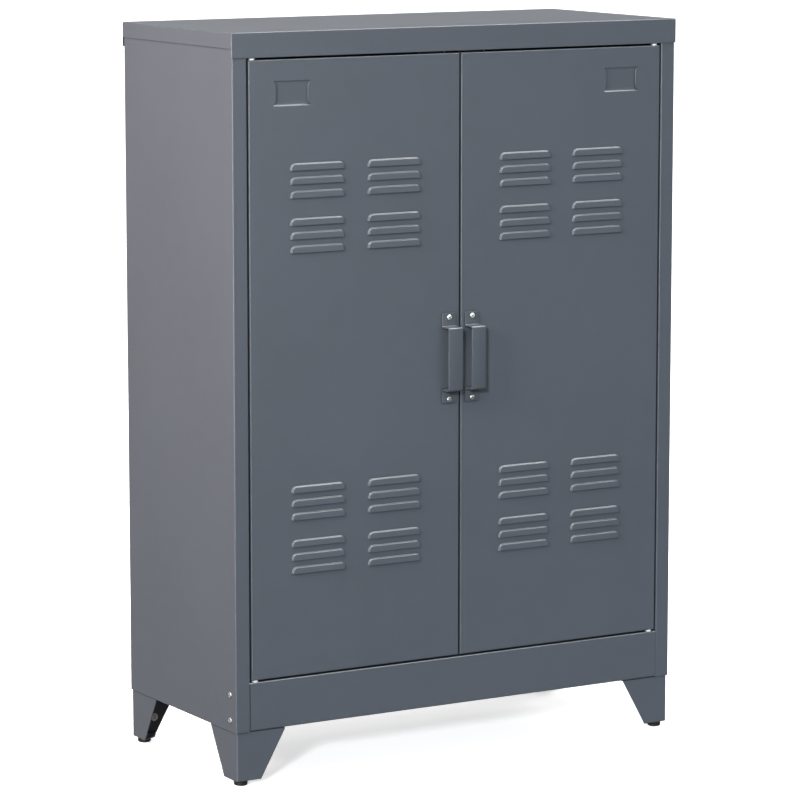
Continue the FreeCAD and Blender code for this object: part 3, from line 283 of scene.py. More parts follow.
# Grains to the metre
SHADE_DRIFT, CLOUDING, PAINT_GRAIN, SCUFFING = 3.5, 38, 2600, 240
LONG_WAVE, ORANGE_PEEL, PAINT_GLOSS = 4.2, 520, 900
ZINC_BLOOM, ZINC_PITS, WIPING_MARKS = 210, 4200, 1500
FLOW_MARKS, FINE_TEXTURE, PLASTIC_GLOSS = 60, 3000, 700
FLOOR_DRIFT, FLOOR_GRAIN = 1.3, 300


class Finish:
    """A node material. Constants go on the shader's sockets, patterns read Object coordinates."""

    def __init__(self, name, **sockets):
        self.material = bpy.data.materials.new(name)
        self.material.use_nodes = True
        self.tree = self.material.node_tree
        self.shader = self.tree.nodes["Principled BSDF"]
        for socket, value in sockets.items():
            self.shader.inputs[socket.replace("_", " ")].default_value = value
        self.place = self.add("TexCoord").outputs["Object"]

    def fill(self, node, feeds):
        """Link or set the inputs of a node."""
        for socket, value in feeds.items():
            if isinstance(value, bpy.types.NodeSocket):
                self.tree.links.new(value, node.inputs[socket])
            else:
                node.inputs[socket].default_value = value

    def add(self, kind, feeds=None, **settings):
        """New node: settings are its properties, feeds its inputs as links or values."""
        node = self.tree.nodes.new(f"ShaderNode{kind}")
        for key, value in settings.items():
            setattr(node, key, value)
        self.fill(node, feeds or {})
        return node

    def feed(self, socket, value):
        """Link a value to a socket of the shader."""
        self.tree.links.new(value, self.shader.inputs[socket])

    def noise(self, per_metre, detail=2, stretch=None):
        """Noise of so many grains to the metre, from 0 to 1."""
        place = self.place
        if stretch:
            place = self.add("Mapping", {"Vector": place, "Scale": stretch}).outputs["Vector"]
        return self.add("TexNoise", {"Vector": place, "Scale": per_metre,
                                     "Detail": detail}).outputs["Fac"]

    def spread(self, value, low, high, out_low=0.0, out_high=1.0):
        """Value from low to high carried to the range from out_low to out_high."""
        return self.add("MapRange", {"Value": value, "From Min": low, "From Max": high,
                                     "To Min": out_low, "To Max": out_high}).outputs["Result"]

    def level(self, pattern, out_low=0.0, out_high=1.0):
        """The usual range of a noise carried to the range from out_low to out_high."""
        return self.spread(pattern, NOISE_LOW, NOISE_HIGH, out_low, out_high)

    def mix(self, factor, first, second):
        """Colour between two colours."""
        node = self.add("Mix", data_type="RGBA")
        self.fill(node, {0: factor, 6: first, 7: second})
        return node.outputs[2]

    def edges(self, reach):
        """1 on folds and cut edges, 0 on flats: how far a bevelled normal leaves the face."""
        round_normal = self.add("Bevel", {"Radius": reach}, samples=BEVEL_SAMPLES)
        face_normal = self.add("NewGeometry").outputs["Normal"]
        agree = self.add("VectorMath", {0: round_normal.outputs["Normal"], 1: face_normal},
                         operation="DOT_PRODUCT").outputs["Value"]
        return self.spread(agree, FLAT_AGREES, EDGE_AGREES)

    def seams(self, reach):
        """1 deep in seams and recesses, 0 in the open: how much of the view is shut off, the mask
        of the painted shade.
        """
        view = self.add("AmbientOcclusion", {"Distance": reach}, samples=VIEW_SAMPLES)
        return self.spread(view.outputs["AO"], OPEN_VIEW, SHUT_VIEW)

    def bumps(self, *layers):
        """Stack of bumps, each of a height pattern, its strength and its depth in metres."""
        normal = None
        for height, strength, depth in layers:
            feeds = {"Height": height, "Strength": strength, "Distance": depth}
            if normal:
                feeds["Normal"] = normal
            normal = self.add("Bump", feeds).outputs["Normal"]
        self.feed("Normal", normal)


def shade(colour, factor):
    """Colour made darker or lighter, as the four values of a colour socket."""
    return tuple(min(1.0, c * factor) for c in colour) + (1,)


def powder_coat(name, colour, sheen):
    """Baked powder paint: orange peel, fine grain, slow drift in shade, edges worn lighter, and
    painted shade that darkens seams and recesses.
    """
    paint = Finish(name)
    drift = paint.level(paint.noise(SHADE_DRIFT, detail=3))
    cloud = paint.spread(paint.noise(CLOUDING, detail=4), 0.35, 0.65, 0, 0.35)
    grain = paint.noise(PAINT_GRAIN, detail=1)
    base = paint.mix(drift, shade(colour, 0.955), shade(colour, 1.045))
    base = paint.mix(cloud, base, shade(colour, 1.1))
    base = paint.mix(paint.spread(grain, 0.4, 0.72, 0, 0.4), base, shade(colour, 0.82))
    scuff = paint.spread(paint.noise(SCUFFING, detail=3), 0.35, 0.75, 0.12, 0.5)
    worn = paint.add("Math", {0: paint.edges(PAINT_EDGE), 1: scuff}, operation="MULTIPLY")
    base = paint.mix(worn.outputs["Value"], base, shade(colour, 2.1))
    # Painted shade: the colour goes most of the way to a fifth of itself where seams and recesses
    # shut off the view
    painted_shade = paint.spread(paint.seams(SEAM_REACH), 0, 1, 0, 0.85)
    paint.feed("Base Color", paint.mix(painted_shade, base, shade(colour, 0.2)))
    paint.feed("Roughness", paint.level(paint.noise(PAINT_GLOSS), sheen - 0.035, sheen + 0.035))
    paint.bumps((paint.noise(LONG_WAVE, detail=1), 0.35, 1.2 * MM),
                (paint.noise(ORANGE_PEEL), 0.16, 0.12 * MM),
                (grain, 0.1, 0.06 * MM))
    return paint.material


def plated_steel(name):
    """Zinc plate: pale metal with a faint bloom, tiny pits and fine wiping marks, and painted
    shade that darkens its recesses.
    """
    zinc = Finish(name, Metallic=1.0)
    bloom = zinc.level(zinc.noise(ZINC_BLOOM, detail=3))
    tint = zinc.mix(bloom, (0.88, 0.885, 0.9, 1), (0.94, 0.93, 0.9, 1))
    pits = zinc.noise(ZINC_PITS)
    tint = zinc.mix(zinc.spread(pits, 0.55, 0.8, 0, 0.5), tint, (0.5, 0.5, 0.52, 1))
    # Painted shade: the plate goes nearly black where its recesses shut off the view
    painted_shade = zinc.spread(zinc.seams(RECESS_REACH), 0, 1, 0, 0.93)
    zinc.feed("Base Color", zinc.mix(painted_shade, tint, PAINTED_SHADE_DARK))
    wiped = zinc.noise(WIPING_MARKS, stretch=(1, 1, 0.08))
    zinc.feed("Roughness", zinc.level(wiped, 0.34, 0.5))
    zinc.bumps((pits, 0.15, 0.03 * MM), (wiped, 0.12, 0.02 * MM))
    return zinc.material


def moulded(name, colour, rough, speck, **sockets):
    """Moulded plastic or rubber: a satin skin with fine texture and faint flow marks."""
    skin = Finish(name, **sockets)
    flow = skin.level(skin.noise(FLOW_MARKS, detail=3, stretch=(1, 1, 0.4)))
    base = skin.mix(flow, shade(colour, 0.93), shade(colour, 1.05))
    fine = skin.noise(FINE_TEXTURE)
    base = skin.mix(skin.spread(fine, 0.5, 0.8, 0, speck), base, shade(colour, 0.7))
    rubbed = skin.spread(skin.edges(PLASTIC_EDGE), 0, 1, 0, 0.25)
    skin.feed("Base Color", skin.mix(rubbed, base, shade(colour, 1.5)))
    skin.feed("Roughness", skin.level(skin.noise(PLASTIC_GLOSS), rough - 0.06, rough + 0.06))
    skin.bumps((fine, 0.18, 0.03 * MM), (flow, 0.1, 0.05 * MM))
    return skin.material


def pale_floor(name):
    """Pale matt floor with a barely seen unevenness."""
    matt = Finish(name, Roughness=0.75, Emission_Color=(1, 1, 1, 1), Emission_Strength=0.55)
    matt.feed("Base Color", matt.mix(matt.noise(FLOOR_DRIFT), (0.92, 0.925, 0.93, 1),
                                     (0.95, 0.95, 0.95, 1)))
    matt.bumps((matt.noise(FLOOR_GRAIN), 0.05, 0.1 * MM))
    return matt.material


SLATE = (0.068, 0.081, 0.1)

finishes = {
    "painted_steel": powder_coat("slate_powder_coat", SLATE, 0.32),
    "painted_handle": powder_coat("slate_handle_coat", shade(SLATE, 0.92)[:3], 0.3),
    "zinc_plated_steel": plated_steel("bright_zinc_plate"),
    "white_nylon": moulded("natural_nylon", (0.68, 0.68, 0.65), 0.5, 0.1,
                           Subsurface_Weight=0.15, Subsurface_Scale=2 * MM),
    "dark_plastic": moulded("dark_catch_plastic", (0.022, 0.022, 0.024), 0.4, 0.3),
    "magnet": moulded("grey_ferrite", (0.06, 0.06, 0.065), 0.5, 0.6, Metallic=0.4),
    "rubber_buffer": moulded("grey_rubber", (0.05, 0.05, 0.052), 0.68, 0.3),
    "black_glide": moulded("black_glide_plastic", (0.012, 0.012, 0.013), 0.45, 0.3),
}
floor.data.materials.append(pale_floor("pale_floor"))

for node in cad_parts.values():
    for slot in node.material_slots:
        slot.material = finishes[slot.material.name.split(".")[0]]


# Doors

LOUVRE_WIDTH, LOUVRE_HEIGHT, LOUVRE_RISE = 95 * MM, 11 * MM, 3 * MM
LOUVRE_BEVEL, LOUVRE_CORNER, LOUVRE_LEAN = 2.3 * MM, 9 * MM, 0.14
LOUVRE_START, COLUMN_PITCH = 159 * MM, 134.8 * MM
LOUVRE_PITCH, GROUP_PITCH, BLOCK_PITCH = 20.8 * MM, 83.2 * MM, 492.6 * MM
LOUVRES, GROUPS, BLOCKS = 3, 2, 2
FROM_HOOD_END = np.array([-0.8, 0, 0.25, 0.5, 0.8, 1.1, 1.4, 1.7, 2, 2.3, 2.7, 3.2, 3.8, 4.6,
                          5.6, 7, 9, 12]) * MM
FROM_HOOD_BASE = np.array([0, 1, 2, 3.2, 4.4, 5.6, 6.6, 7.4, 8, 8.5, 8.9, 9.3, 9.6, 9.9, 10.2,
                           10.5, 10.8, 11, 11.6]) * MM
HOOD_FACE = np.array([-30, -10, 10, 30]) * MM
CARD_WIDTH, CARD_HEIGHT, CARD_DEPTH = 63.4 * MM, 38.4 * MM, 2.2 * MM
CARD_FROM_TOP, CARD_FROM_EDGE = 51 * MM, 73.9 * MM
CARD_BROW, CARD_LEDGE, CARD_TOP_SHARE = 2.4 * MM, 2.1 * MM, 0.42
CARD_LIP, CARD_SLOPE, CARD_EDGE = 5 * MM, 5 * MM, 1.6 * MM
CARD_FLARE, CARD_ROLL, CARD_FLAP = 0.5 * MM, 1 * MM, 3 * MM
BROW_LINES, LEDGE_LINES, ROLL_LINES = 9, 6, 5
FRONT_COLUMNS, FRONT_ROWS, GUARD = 12, 24, 0.4 * MM
FOLD, FOLD_STEPS, DOOR_LIP = 1.6 * MM, 6, 20 * MM

door_low, door_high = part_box("left_door")
front_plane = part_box("side_panel_left")[0].y
door_depth = door_high.y - front_plane
front_left, front_right = door_low.x + FOLD, door_high.x - FOLD
front_base, front_top = door_low.z + FOLD, door_high.z - FOLD
card_x, card_z = door_low.x + CARD_FROM_EDGE, door_high.z - CARD_FROM_TOP
card_half, card_tall = CARD_WIDTH / 2, CARD_HEIGHT / 2


def louvre_places():
    """x of the middles of the two columns, and z of the open edges, from the lowest up."""
    columns = (door_low.x + door_high.x) / 2 + np.array([-0.5, 0.5]) * COLUMN_PITCH
    in_block = np.add.outer(np.arange(GROUPS) * GROUP_PITCH, np.arange(LOUVRES) * LOUVRE_PITCH)
    rows = door_low.z + LOUVRE_START + np.add.outer(np.arange(BLOCKS) * BLOCK_PITCH, in_block)
    return columns, rows.ravel()


def lines(*places):
    """Sorted grid lines without repeats, rounded to a hundredth of a micrometre."""
    return np.unique(np.round(np.concatenate(places), 8))


def front_lines(columns, rows):
    """x and z of the lines of the front's grid, which crowd where the metal bends."""
    waist, knee = card_half - CARD_LIP, card_tall - CARD_EDGE - CARD_SLOPE
    reach = np.concatenate([-LOUVRE_WIDTH / 2 + FROM_HOOD_END, LOUVRE_WIDTH / 2 - FROM_HOOD_END,
                            HOOD_FACE])
    brow = card_tall - np.linspace(0, 1, BROW_LINES) * CARD_BROW
    ledge = card_tall - np.linspace(0, 1, LEDGE_LINES) * CARD_LEDGE
    beside_card = np.array([card_half + GUARD, card_half, waist])
    over_card = np.array([card_tall + GUARD, card_tall - CARD_EDGE, knee, 0])
    x = lines(np.linspace(front_left, front_right, FRONT_COLUMNS),
              [front_left + GUARD, front_right - GUARD], np.add.outer(columns, reach).ravel(),
              card_x + beside_card, card_x - beside_card)
    z = lines(np.linspace(front_base, front_top, FRONT_ROWS),
              [front_base + GUARD, front_top - GUARD],
              np.add.outer(rows, FROM_HOOD_BASE).ravel(),
              card_z + brow, card_z - ledge, card_z + over_card, card_z - over_card)
    return x, z


def rise_of_louvres(x, z, columns, rows):
    """Height of the hoods over a grid of x and z.

    The distance inside the hood's outline, a box with two rounded upper corners and no lower
    edge, is carried through a smooth step over the width of the bevel. The face of the hood
    leans out a little towards its open lower edge.
    """
    across = np.abs(x[:, None] - columns).min(1) - (LOUVRE_WIDTH / 2 - LOUVRE_CORNER)
    row = np.searchsorted(rows, z + NEAR) - 1
    above = np.where(row >= 0, z - rows[np.maximum(row, 0)], 1.0)[:, None]
    up = above - (LOUVRE_HEIGHT - LOUVRE_CORNER)
    inside = (LOUVRE_CORNER - np.hypot(np.maximum(across, 0), np.maximum(up, 0))
              - np.minimum(np.maximum(across, up), 0))
    lean = 1 - LOUVRE_LEAN * np.clip(above / LOUVRE_HEIGHT, 0, 1)
    return LOUVRE_RISE * lean * smooth_step(inside / LOUVRE_BEVEL)


def depth_of_card_holder(z):
    """Depth of the pressed card holder over z.

    It grows evenly from a share of the full depth at the upper edge to the full depth at the
    lower one, and falls to nothing through a smooth step at both edges.
    """
    below = card_z - z
    ease = np.where(below < 0, CARD_BROW, CARD_LEDGE)
    shallow = (1 - CARD_TOP_SHARE) * (card_tall - below) / (2 * card_tall)
    return CARD_DEPTH * (1 - shallow) * smooth_step((card_tall - np.abs(below)) / ease)


def door_front(net, x, z, columns, rows):
    """Front of the door. Gives the point numbers of its grid and of the card holder's hollow.

    The grid's points are drawn out by the hoods and pushed in by the card holder. A line of
    points is doubled along the open lower edge of each hood and along the two slits of the
    card holder, so that the metal parts there.
    """
    hoods = rise_of_louvres(x, z, columns, rows)
    depth = np.broadcast_to(depth_of_card_holder(z)[:, None], hoods.shape)
    across, up = np.abs(x - card_x), np.abs(z - card_z)[:, None]
    pressed = (across < card_half + NEAR) & (up < card_tall + NEAR)
    slit = (np.abs(across - card_half) < NEAR) & (up < card_tall - NEAR)
    open_edge = (np.abs(z[:, None] - rows).min(1) < NEAR)[:, None] & (hoods > NEAR)
    grid_x, grid_z = np.meshgrid(x, z)
    number = net.add(x, front_plane - hoods + np.where(pressed & ~slit, depth, 0), grid_z)
    flat, hollow = number.copy(), number.copy()
    flat[open_edge] = net.add(grid_x[open_edge], front_plane, grid_z[open_edge])
    hollow[slit] = net.add(grid_x[slit], front_plane + depth[slit], grid_z[slit])
    cells = turned_over(quads(number[:-1], flat[1:]))
    in_hollow = pressed[:-1, :-1] & pressed[1:, 1:]
    cells[in_hollow] = turned_over(quads(hollow[:-1], hollow[1:]))[in_hollow]
    net.join(cells)
    return number, hollow


def card_lips(net, x, z, number, hollow):
    """Lips over both ends of the card holder, and the hollow's flaps out of sight behind them.

    A lip runs inwards from its rim, leans out a little and ends in a quarter circle. It
    narrows evenly to nothing towards its upper and lower tips.
    """
    up = np.abs(z - card_z)
    span = np.flatnonzero(up < card_tall - CARD_EDGE + NEAR)
    level = span[1:-1]
    hidden = np.flatnonzero(up < card_tall - CARD_LEDGE + NEAR)
    width = CARD_LIP * np.clip((card_tall - CARD_EDGE - up[level]) / CARD_SLOPE, 0, 1)[:, None]
    bend = np.minimum(CARD_ROLL, width)
    roll = np.linspace(0, math.pi / 2, ROLL_LINES)
    lip_x = card_half - width + bend * (1 - np.sin(roll))
    lip_y = front_plane - CARD_FLARE * width / CARD_LIP + bend * (1 - np.cos(roll))
    flap_y = front_plane + depth_of_card_holder(z[hidden])
    for side in (-1, 1):
        rim = np.argmin(np.abs(x - card_x - side * card_half))
        lip = np.column_stack([number[level, rim],
                               net.add(card_x + side * lip_x, lip_y, z[level, None])])
        flip = side < 0
        net.join(np.stack([lip[:-1, 1:], lip[:-1, :-1], lip[1:, :-1], lip[1:, 1:]], -1), flip)
        flap = net.add(card_x + side * (card_half + CARD_FLAP), flap_y, z[hidden])
        net.join(quads(hollow[hidden, rim], flap), flip)
        lower, upper = number[span[[0, -1]], rim]
        net.join([[lower, near, far] for near, far in zip(lip[0], lip[0, 1:])], flip)
        net.join([[upper, far, near] for near, far in zip(lip[-1], lip[-1, 1:])], flip)


def once_round(grid):
    """Values of a grid along its border, once round."""
    return np.concatenate([grid[0, :-1], grid[:-1, -1], grid[-1, :0:-1], grid[:0:-1, 0]])


def door_folds(net, x, z, number):
    """Rings round the front: the fold, the side walls, the second fold and the lips.

    Each ring is the grid's border scaled about the middle of the door and moved back. Both
    folds are quarter circles.
    """
    middle_x, middle_z = (front_left + front_right) / 2, (front_base + front_top) / 2
    half_x, half_z = (front_right - front_left) / 2, (front_top - front_base) / 2
    rim_x, rim_z = (once_round(grid) for grid in np.meshgrid(x, z))
    turn = np.linspace(0, math.pi / 2, FOLD_STEPS + 1)[1:]
    reach = np.concatenate([FOLD * np.sin(turn), [FOLD], FOLD * np.cos(turn), [FOLD - DOOR_LIP]])
    back = np.concatenate([FOLD * (1 - np.cos(turn)), [door_depth - FOLD],
                           door_depth - FOLD * (1 - np.sin(turn)), [door_depth]])
    previous = once_round(number)
    for out, deep in zip(reach, back):
        ring = net.add((rim_x - middle_x) * (1 + out / half_x) + middle_x, front_plane + deep,
                       (rim_z - middle_z) * (1 + out / half_z) + middle_z)
        net.join(quads(closed(previous), closed(ring)))
        previous = ring


def door_surface():
    """Outer surface of the left door, as points and faces."""
    columns, rows = louvre_places()
    x, z = front_lines(columns, rows)
    net = Net()
    number, hollow = door_front(net, x, z, columns, rows)
    card_lips(net, x, z, number, hollow)
    door_folds(net, x, z, number)
    return net.surface()


door_points, door_faces = door_surface()
for side, sign in (("left", 1), ("right", -1)):
    skin = new_object(f"{side}_door_skin", (door_points * [sign, 1, 1]).tolist(),
                      [face[::sign] for face in door_faces])
    thicken(skin, SHEET)
    dress(skin, f"{side}_door_body", "painted_steel", f"{side}_door")


# Handles

HANDLE_WIDTH, HANDLE_GAUGE, HANDLE_BEND = 25 * MM, 2 * MM, 1.2 * MM
HANDLE_GRIP, TAB_CORNER, HANDLE_EDGE = 100 * MM, 1.5 * MM, 0.45 * MM
BEND_STEPS, TAB_STEPS, EDGE_STEPS = 6, 5, 4


def bent_line(corners, radius):
    """Points of a line with its corners turned into arcs of the radius, and its direction."""
    corners = np.array(corners, float)
    way = np.diff(corners, axis=0)
    way /= np.linalg.norm(way, axis=1)[:, None]
    turn = np.linspace(0, math.pi / 2, BEND_STEPS + 1)[:, None]
    path, heading = [corners[:1]], [way[:1]]
    for corner, into, out in zip(corners[1:], way, way[1:]):
        start = corner - into * radius
        path.append(start + radius * (np.sin(turn) * into + (1 - np.cos(turn)) * out))
        heading.append(np.cos(turn) * into + np.sin(turn) * out)
    return np.concatenate(path + [corners[-1:]]), np.concatenate(heading + [way[-1:]])


def handle_line(tab_y, grip_y, end):
    """Middle line of the strip as (y, z), and its direction, from the upper end down.

    The line runs down the upper tab, out, down the grip, in, and down the lower tab. Its
    points crowd near both ends.
    """
    grip = HANDLE_GRIP / 2 - HANDLE_GAUGE / 2
    corners = [(tab_y, end), (tab_y, grip), (grip_y, grip), (grip_y, -grip), (tab_y, -grip),
               (tab_y, -end)]
    path, heading = bent_line(corners, HANDLE_BEND + HANDLE_GAUGE / 2)
    ease = TAB_CORNER * (1 - np.cos(np.linspace(0, math.pi / 2, TAB_STEPS + 1)[1:]))
    upper = np.stack([np.full(TAB_STEPS, tab_y), end - ease], -1)
    path = np.concatenate([path[:1], upper, path[1:-1], upper[::-1] * [1, -1], path[-1:]])
    repeats = np.ones(len(heading), int)
    repeats[[0, -1]] += TAB_STEPS
    return path, np.repeat(heading, repeats, 0)


def strip_section():
    """Section of the strip as (across, off): an oblong with rounded edges."""
    around = np.linspace(0, math.pi / 2, EDGE_STEPS + 1)
    wide, thick = HANDLE_WIDTH / 2 - HANDLE_EDGE, HANDLE_GAUGE / 2 - HANDLE_EDGE
    quarters = ((0, 1, 1), (1, -1, 1), (2, -1, -1), (3, 1, -1))
    return np.concatenate([
        np.stack([side * wide + HANDLE_EDGE * np.cos(around + quarter * math.pi / 2),
                  face * thick + HANDLE_EDGE * np.sin(around + quarter * math.pi / 2)], -1)
        for quarter, side, face in quarters])


def handle_surface(low, high):
    """Bent strip: its section carried along its middle line, as points and faces.

    Near the ends of the line the section narrows by a quarter circle, which rounds the
    corners of the tabs, and thins a little.
    """
    end = (high.z - low.z) / 2
    path, heading = handle_line(high.y - HANDLE_GAUGE / 2, low.y + HANDLE_GAUGE / 2, end)
    section = strip_section()
    from_end = np.minimum(end - path[:, 1], end + path[:, 1])
    inset = np.clip(TAB_CORNER - from_end, 0, TAB_CORNER)
    narrow = TAB_CORNER - np.sqrt(TAB_CORNER ** 2 - inset ** 2)
    flatten = HANDLE_EDGE * np.clip(1 - from_end / HANDLE_EDGE, 0, 1) ** 2
    across = section[:, 0] * (1 - narrow / (HANDLE_WIDTH / 2))[:, None]
    off = section[:, 1] * (1 - flatten / (HANDLE_GAUGE / 2))[:, None]
    net = Net()
    number = net.add(across + (low.x + high.x) / 2, path[:, :1] + off * heading[:, 1:],
                     path[:, 1:] - off * heading[:, :1] + (low.z + high.z) / 2)
    net.join(turned_over(quads(closed(number)[:-1], closed(number)[1:])))
    net.join([number[0, ::-1], number[-1]])
    return net.surface()


def face_outwards(piece):
    """Turn all faces of a closed mesh outwards."""
    work = bmesh.new()
    work.from_mesh(piece.data)
    bmesh.ops.recalc_face_normals(work, faces=work.faces)
    work.to_mesh(piece.data)
    work.free()


for side in ("left", "right"):
    pull = new_object(f"{side}_pull_handle", *handle_surface(*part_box(f"{side}_handle")))
    face_outwards(pull)
    settle(pull)
    dress(pull, f"{side}_door_body", "painted_handle", f"{side}_handle")


# Screws, nuts and studs

CHAMFER, RECESS_WALL, ARM_RATIO = 0.3 * MM, 0.25 * MM, 9
RECESS_SHARE, RECESS_MIDDLE, RECESS_FALL = 0.55, 1.6, 2.4
BULGE, DOME_SHARE, SHOULDER = 2.6, 0.76, 0.8
SCREW_CAP, BOLT_CAP, HEX_RIM = 0.04, 0.05, 0.95
TOP_ROWS, SHOULDER_ROWS, FLANGE_ROWS, STUD_ROWS = 17, 7, 4, 12
SCREW_RADIUS, BOLT_RADIUS = 2 * MM, 3 * MM
SCREW_PITCH, BOLT_PITCH, THREAD_DEPTH = 0.7 * MM, 1 * MM, 0.4
TURNED_SIDES, THREAD_ROWS = 48, 4
ANGLES = np.arange(TURNED_SIDES) * 2 * math.pi / TURNED_SIDES
FACING = {"up": ((1, 0, 0), (0, 1, 0), (0, 0, 1)), "down": ((1, 0, 0), (0, -1, 0), (0, 0, -1)),
          "front": ((1, 0, 0), (0, 0, 1), (0, -1, 0)), "back": ((1, 0, 0), (0, 0, -1), (0, 1, 0)),
          "left": ((0, 0, 1), (0, 1, 0), (-1, 0, 0)), "right": ((0, 0, -1), (0, 1, 0), (1, 0, 0))}


def turned_net(rows, bored=False):
    """Points, faces and caps of a turned piece from rows of (radius, height) over the angles.

    A point is (r cos t, r sin t, h). The rows run from the top down the outside. Each end is a
    flat cap, and where the piece is bored the last row joins the first instead.
    """
    radius = np.stack([np.broadcast_to(r, ANGLES.shape) for r, _ in rows])
    height = np.stack([np.broadcast_to(h, ANGLES.shape) for _, h in rows])
    points = np.stack([radius * np.cos(ANGLES), radius * np.sin(ANGLES), height], -1)
    number = np.arange(radius.size).reshape(radius.shape)
    caps = [] if bored else [number[0], number[-1, ::-1]]
    if bored:
        number = np.vstack([number, number[:1]])
    faces = quads(closed(number)[:-1], closed(number)[1:])
    return points.reshape(-1, 3), faces.reshape(-1, 4), caps


def thread(radius, top, tip, pitch):
    """Rows of a screw thread from its top down to its chamfered tip.

    The radius is cut back from the crest by up to the thread's depth: the height over the
    pitch, less the share of a full turn, runs from 0 to 1 and the cut falls to its middle and
    rises.
    """
    deep = THREAD_DEPTH * pitch
    steps = np.arange(top, tip + 2 * CHAMFER, -pitch / THREAD_ROWS)
    winding = steps[:, None] / pitch - ANGLES / (2 * math.pi)
    cut = deep * np.abs(2 * np.mod(winding, 1) - 1)
    core = radius - deep
    return list(zip(radius - cut, steps)) + [(core, tip + CHAMFER), (core - CHAMFER, tip)]


def cross_screw(head, tall, shank, length, span, flange=0.0):
    """Screw with a domed cross-recess head on z = 0 and a threaded shank below.

    The dome stands tall (1 - (r / R)^2.6)^(1 / 2.6) over the radius r. The recess follows the
    nearer of its two arms through a smooth step over its wall, and gets shallower towards the
    arms' ends. Beyond the dome's shoulder its rows crowd towards the rim. A flange is a flat
    ring with a rounded rim round a smaller dome.
    """
    dome = DOME_SHARE * head if flange else head
    lean = np.linspace(math.asin(SHOULDER ** (BULGE / 2)), math.pi / 2, SHOULDER_ROWS + 1)[1:]
    radii = dome * np.append(np.linspace(SCREW_CAP, SHOULDER, TOP_ROWS),
                             np.sin(lean) ** (2 / BULGE))
    rise = np.clip(1 - (radii / dome) ** BULGE, 0, 1) ** (1 / BULGE)
    x, y = np.abs(radii[:, None] * np.cos(ANGLES)), np.abs(radii[:, None] * np.sin(ANGLES))
    long_arm = np.minimum(span / 2 - x, span / ARM_RATIO - y)
    cross_arm = np.minimum(span / 2 - y, span / ARM_RATIO - x)
    shallower = np.clip(RECESS_MIDDLE - RECESS_FALL * radii / span, 0, RECESS_MIDDLE)[:, None]
    inside = smooth_step(np.maximum(long_arm, cross_arm) / RECESS_WALL + 0.5)
    cut = RECESS_SHARE * tall * shallower * inside
    rows = list(zip(radii, (flange + (tall - flange) * rise)[:, None] - cut))
    if flange:
        rim = np.linspace(0, math.pi / 2, FLANGE_ROWS)
        rows += list(zip(head - CHAMFER * (1 - np.sin(rim)), flange - CHAMFER * (1 - np.cos(rim))))
        rows += [(head, 0)]
    return turned_net(rows + [(shank, 0)] + thread(shank, -CHAMFER, -length, SCREW_PITCH))


def hexagon(flats):
    """Radius of a hexagon over the angles, its chamfer's drop and its chamfer's rim.

    The radius is half the width over flats, over the cosine of the angle from the nearest
    flat. The rim is 0.95 of that half. The drop is how far the radius passes the rim, times
    the tangent of 30 degrees.
    """
    corner = flats / 2 / np.cos(np.mod(ANGLES, math.pi / 3) - math.pi / 6)
    rim = HEX_RIM / 2 * flats
    return corner, (corner - rim) * math.tan(math.pi / 6), rim


def hex_nut(flats, tall, bore):
    """Hexagon nut on z = 0, chamfered round both faces and the bore."""
    corner, drop, rim = hexagon(flats)
    mouth = bore + CHAMFER
    return turned_net([(mouth, tall), (rim, tall), (corner, tall - drop), (corner, drop),
                       (rim, 0), (mouth, 0), (bore, CHAMFER), (bore, tall - CHAMFER)],
                      bored=True)


def hex_bolt(flats, tall, shank, length):
    """Hexagon bolt with its head on z = 0 and a threaded shank below."""
    corner, drop, rim = hexagon(flats)
    return turned_net([(BOLT_CAP * rim, tall), (rim, tall), (corner, tall - drop), (corner, 0),
                       (shank, 0)] + thread(shank, -CHAMFER, -length, BOLT_PITCH))


def slotted_stud(radius, top, tip, slot, deep):
    """Threaded stud whose top end has a driver slot, cut down by a smooth step at its walls."""
    radii = np.append(np.linspace(SCREW_CAP, 1, STUD_ROWS) * (radius - CHAMFER), radius)
    end = np.append(np.full(STUD_ROWS, top), top - CHAMFER)
    y = np.abs(radii[:, None] * np.sin(ANGLES))
    cut = deep * smooth_step((slot / 2 - y) / RECESS_WALL + 0.5)
    return turned_net(list(zip(radii, end[:, None] - cut))
                      + thread(radius, top - deep - 2 * CHAMFER, tip, BOLT_PITCH))


def fasten(name, body, net, places, *nodes, turn=0.0):
    """One piece of copies of a net on a body, each turned about its axis further than the last.

    A place is x, y from the front plane and z, and the way the head faces.
    """
    points, faces, caps = net
    copies = []
    for number, (x, y, z, facing) in enumerate(places):
        angle = turn * (number + 1)
        spin = np.array([[math.cos(angle), math.sin(angle), 0],
                         [-math.sin(angle), math.cos(angle), 0], [0, 0, 1]])
        spot = np.array([x, front_plane + y, z])
        copies.append(points @ spin @ np.array(FACING[facing]) + spot)
    starts = len(points) * np.arange(len(places))
    all_faces = (faces + starts[:, None, None]).reshape(-1, 4).tolist()
    all_faces += [(cap + start).tolist() for start in starts for cap in caps]
    piece = new_object(name, np.concatenate(copies).tolist(), all_faces)
    settle(piece, HARDWARE_CREASE)
    dress(piece, body, "zinc_plated_steel", *nodes)


def both_sides(x, y_values, z_values, facing, right_facing=None):
    """Places at every y and z, left of the cabinet's middle and then right of it."""
    return [(side_x, y, z, way) for side_x, way in ((-x, facing), (x, right_facing or facing))
            for y in y_values for z in z_values]


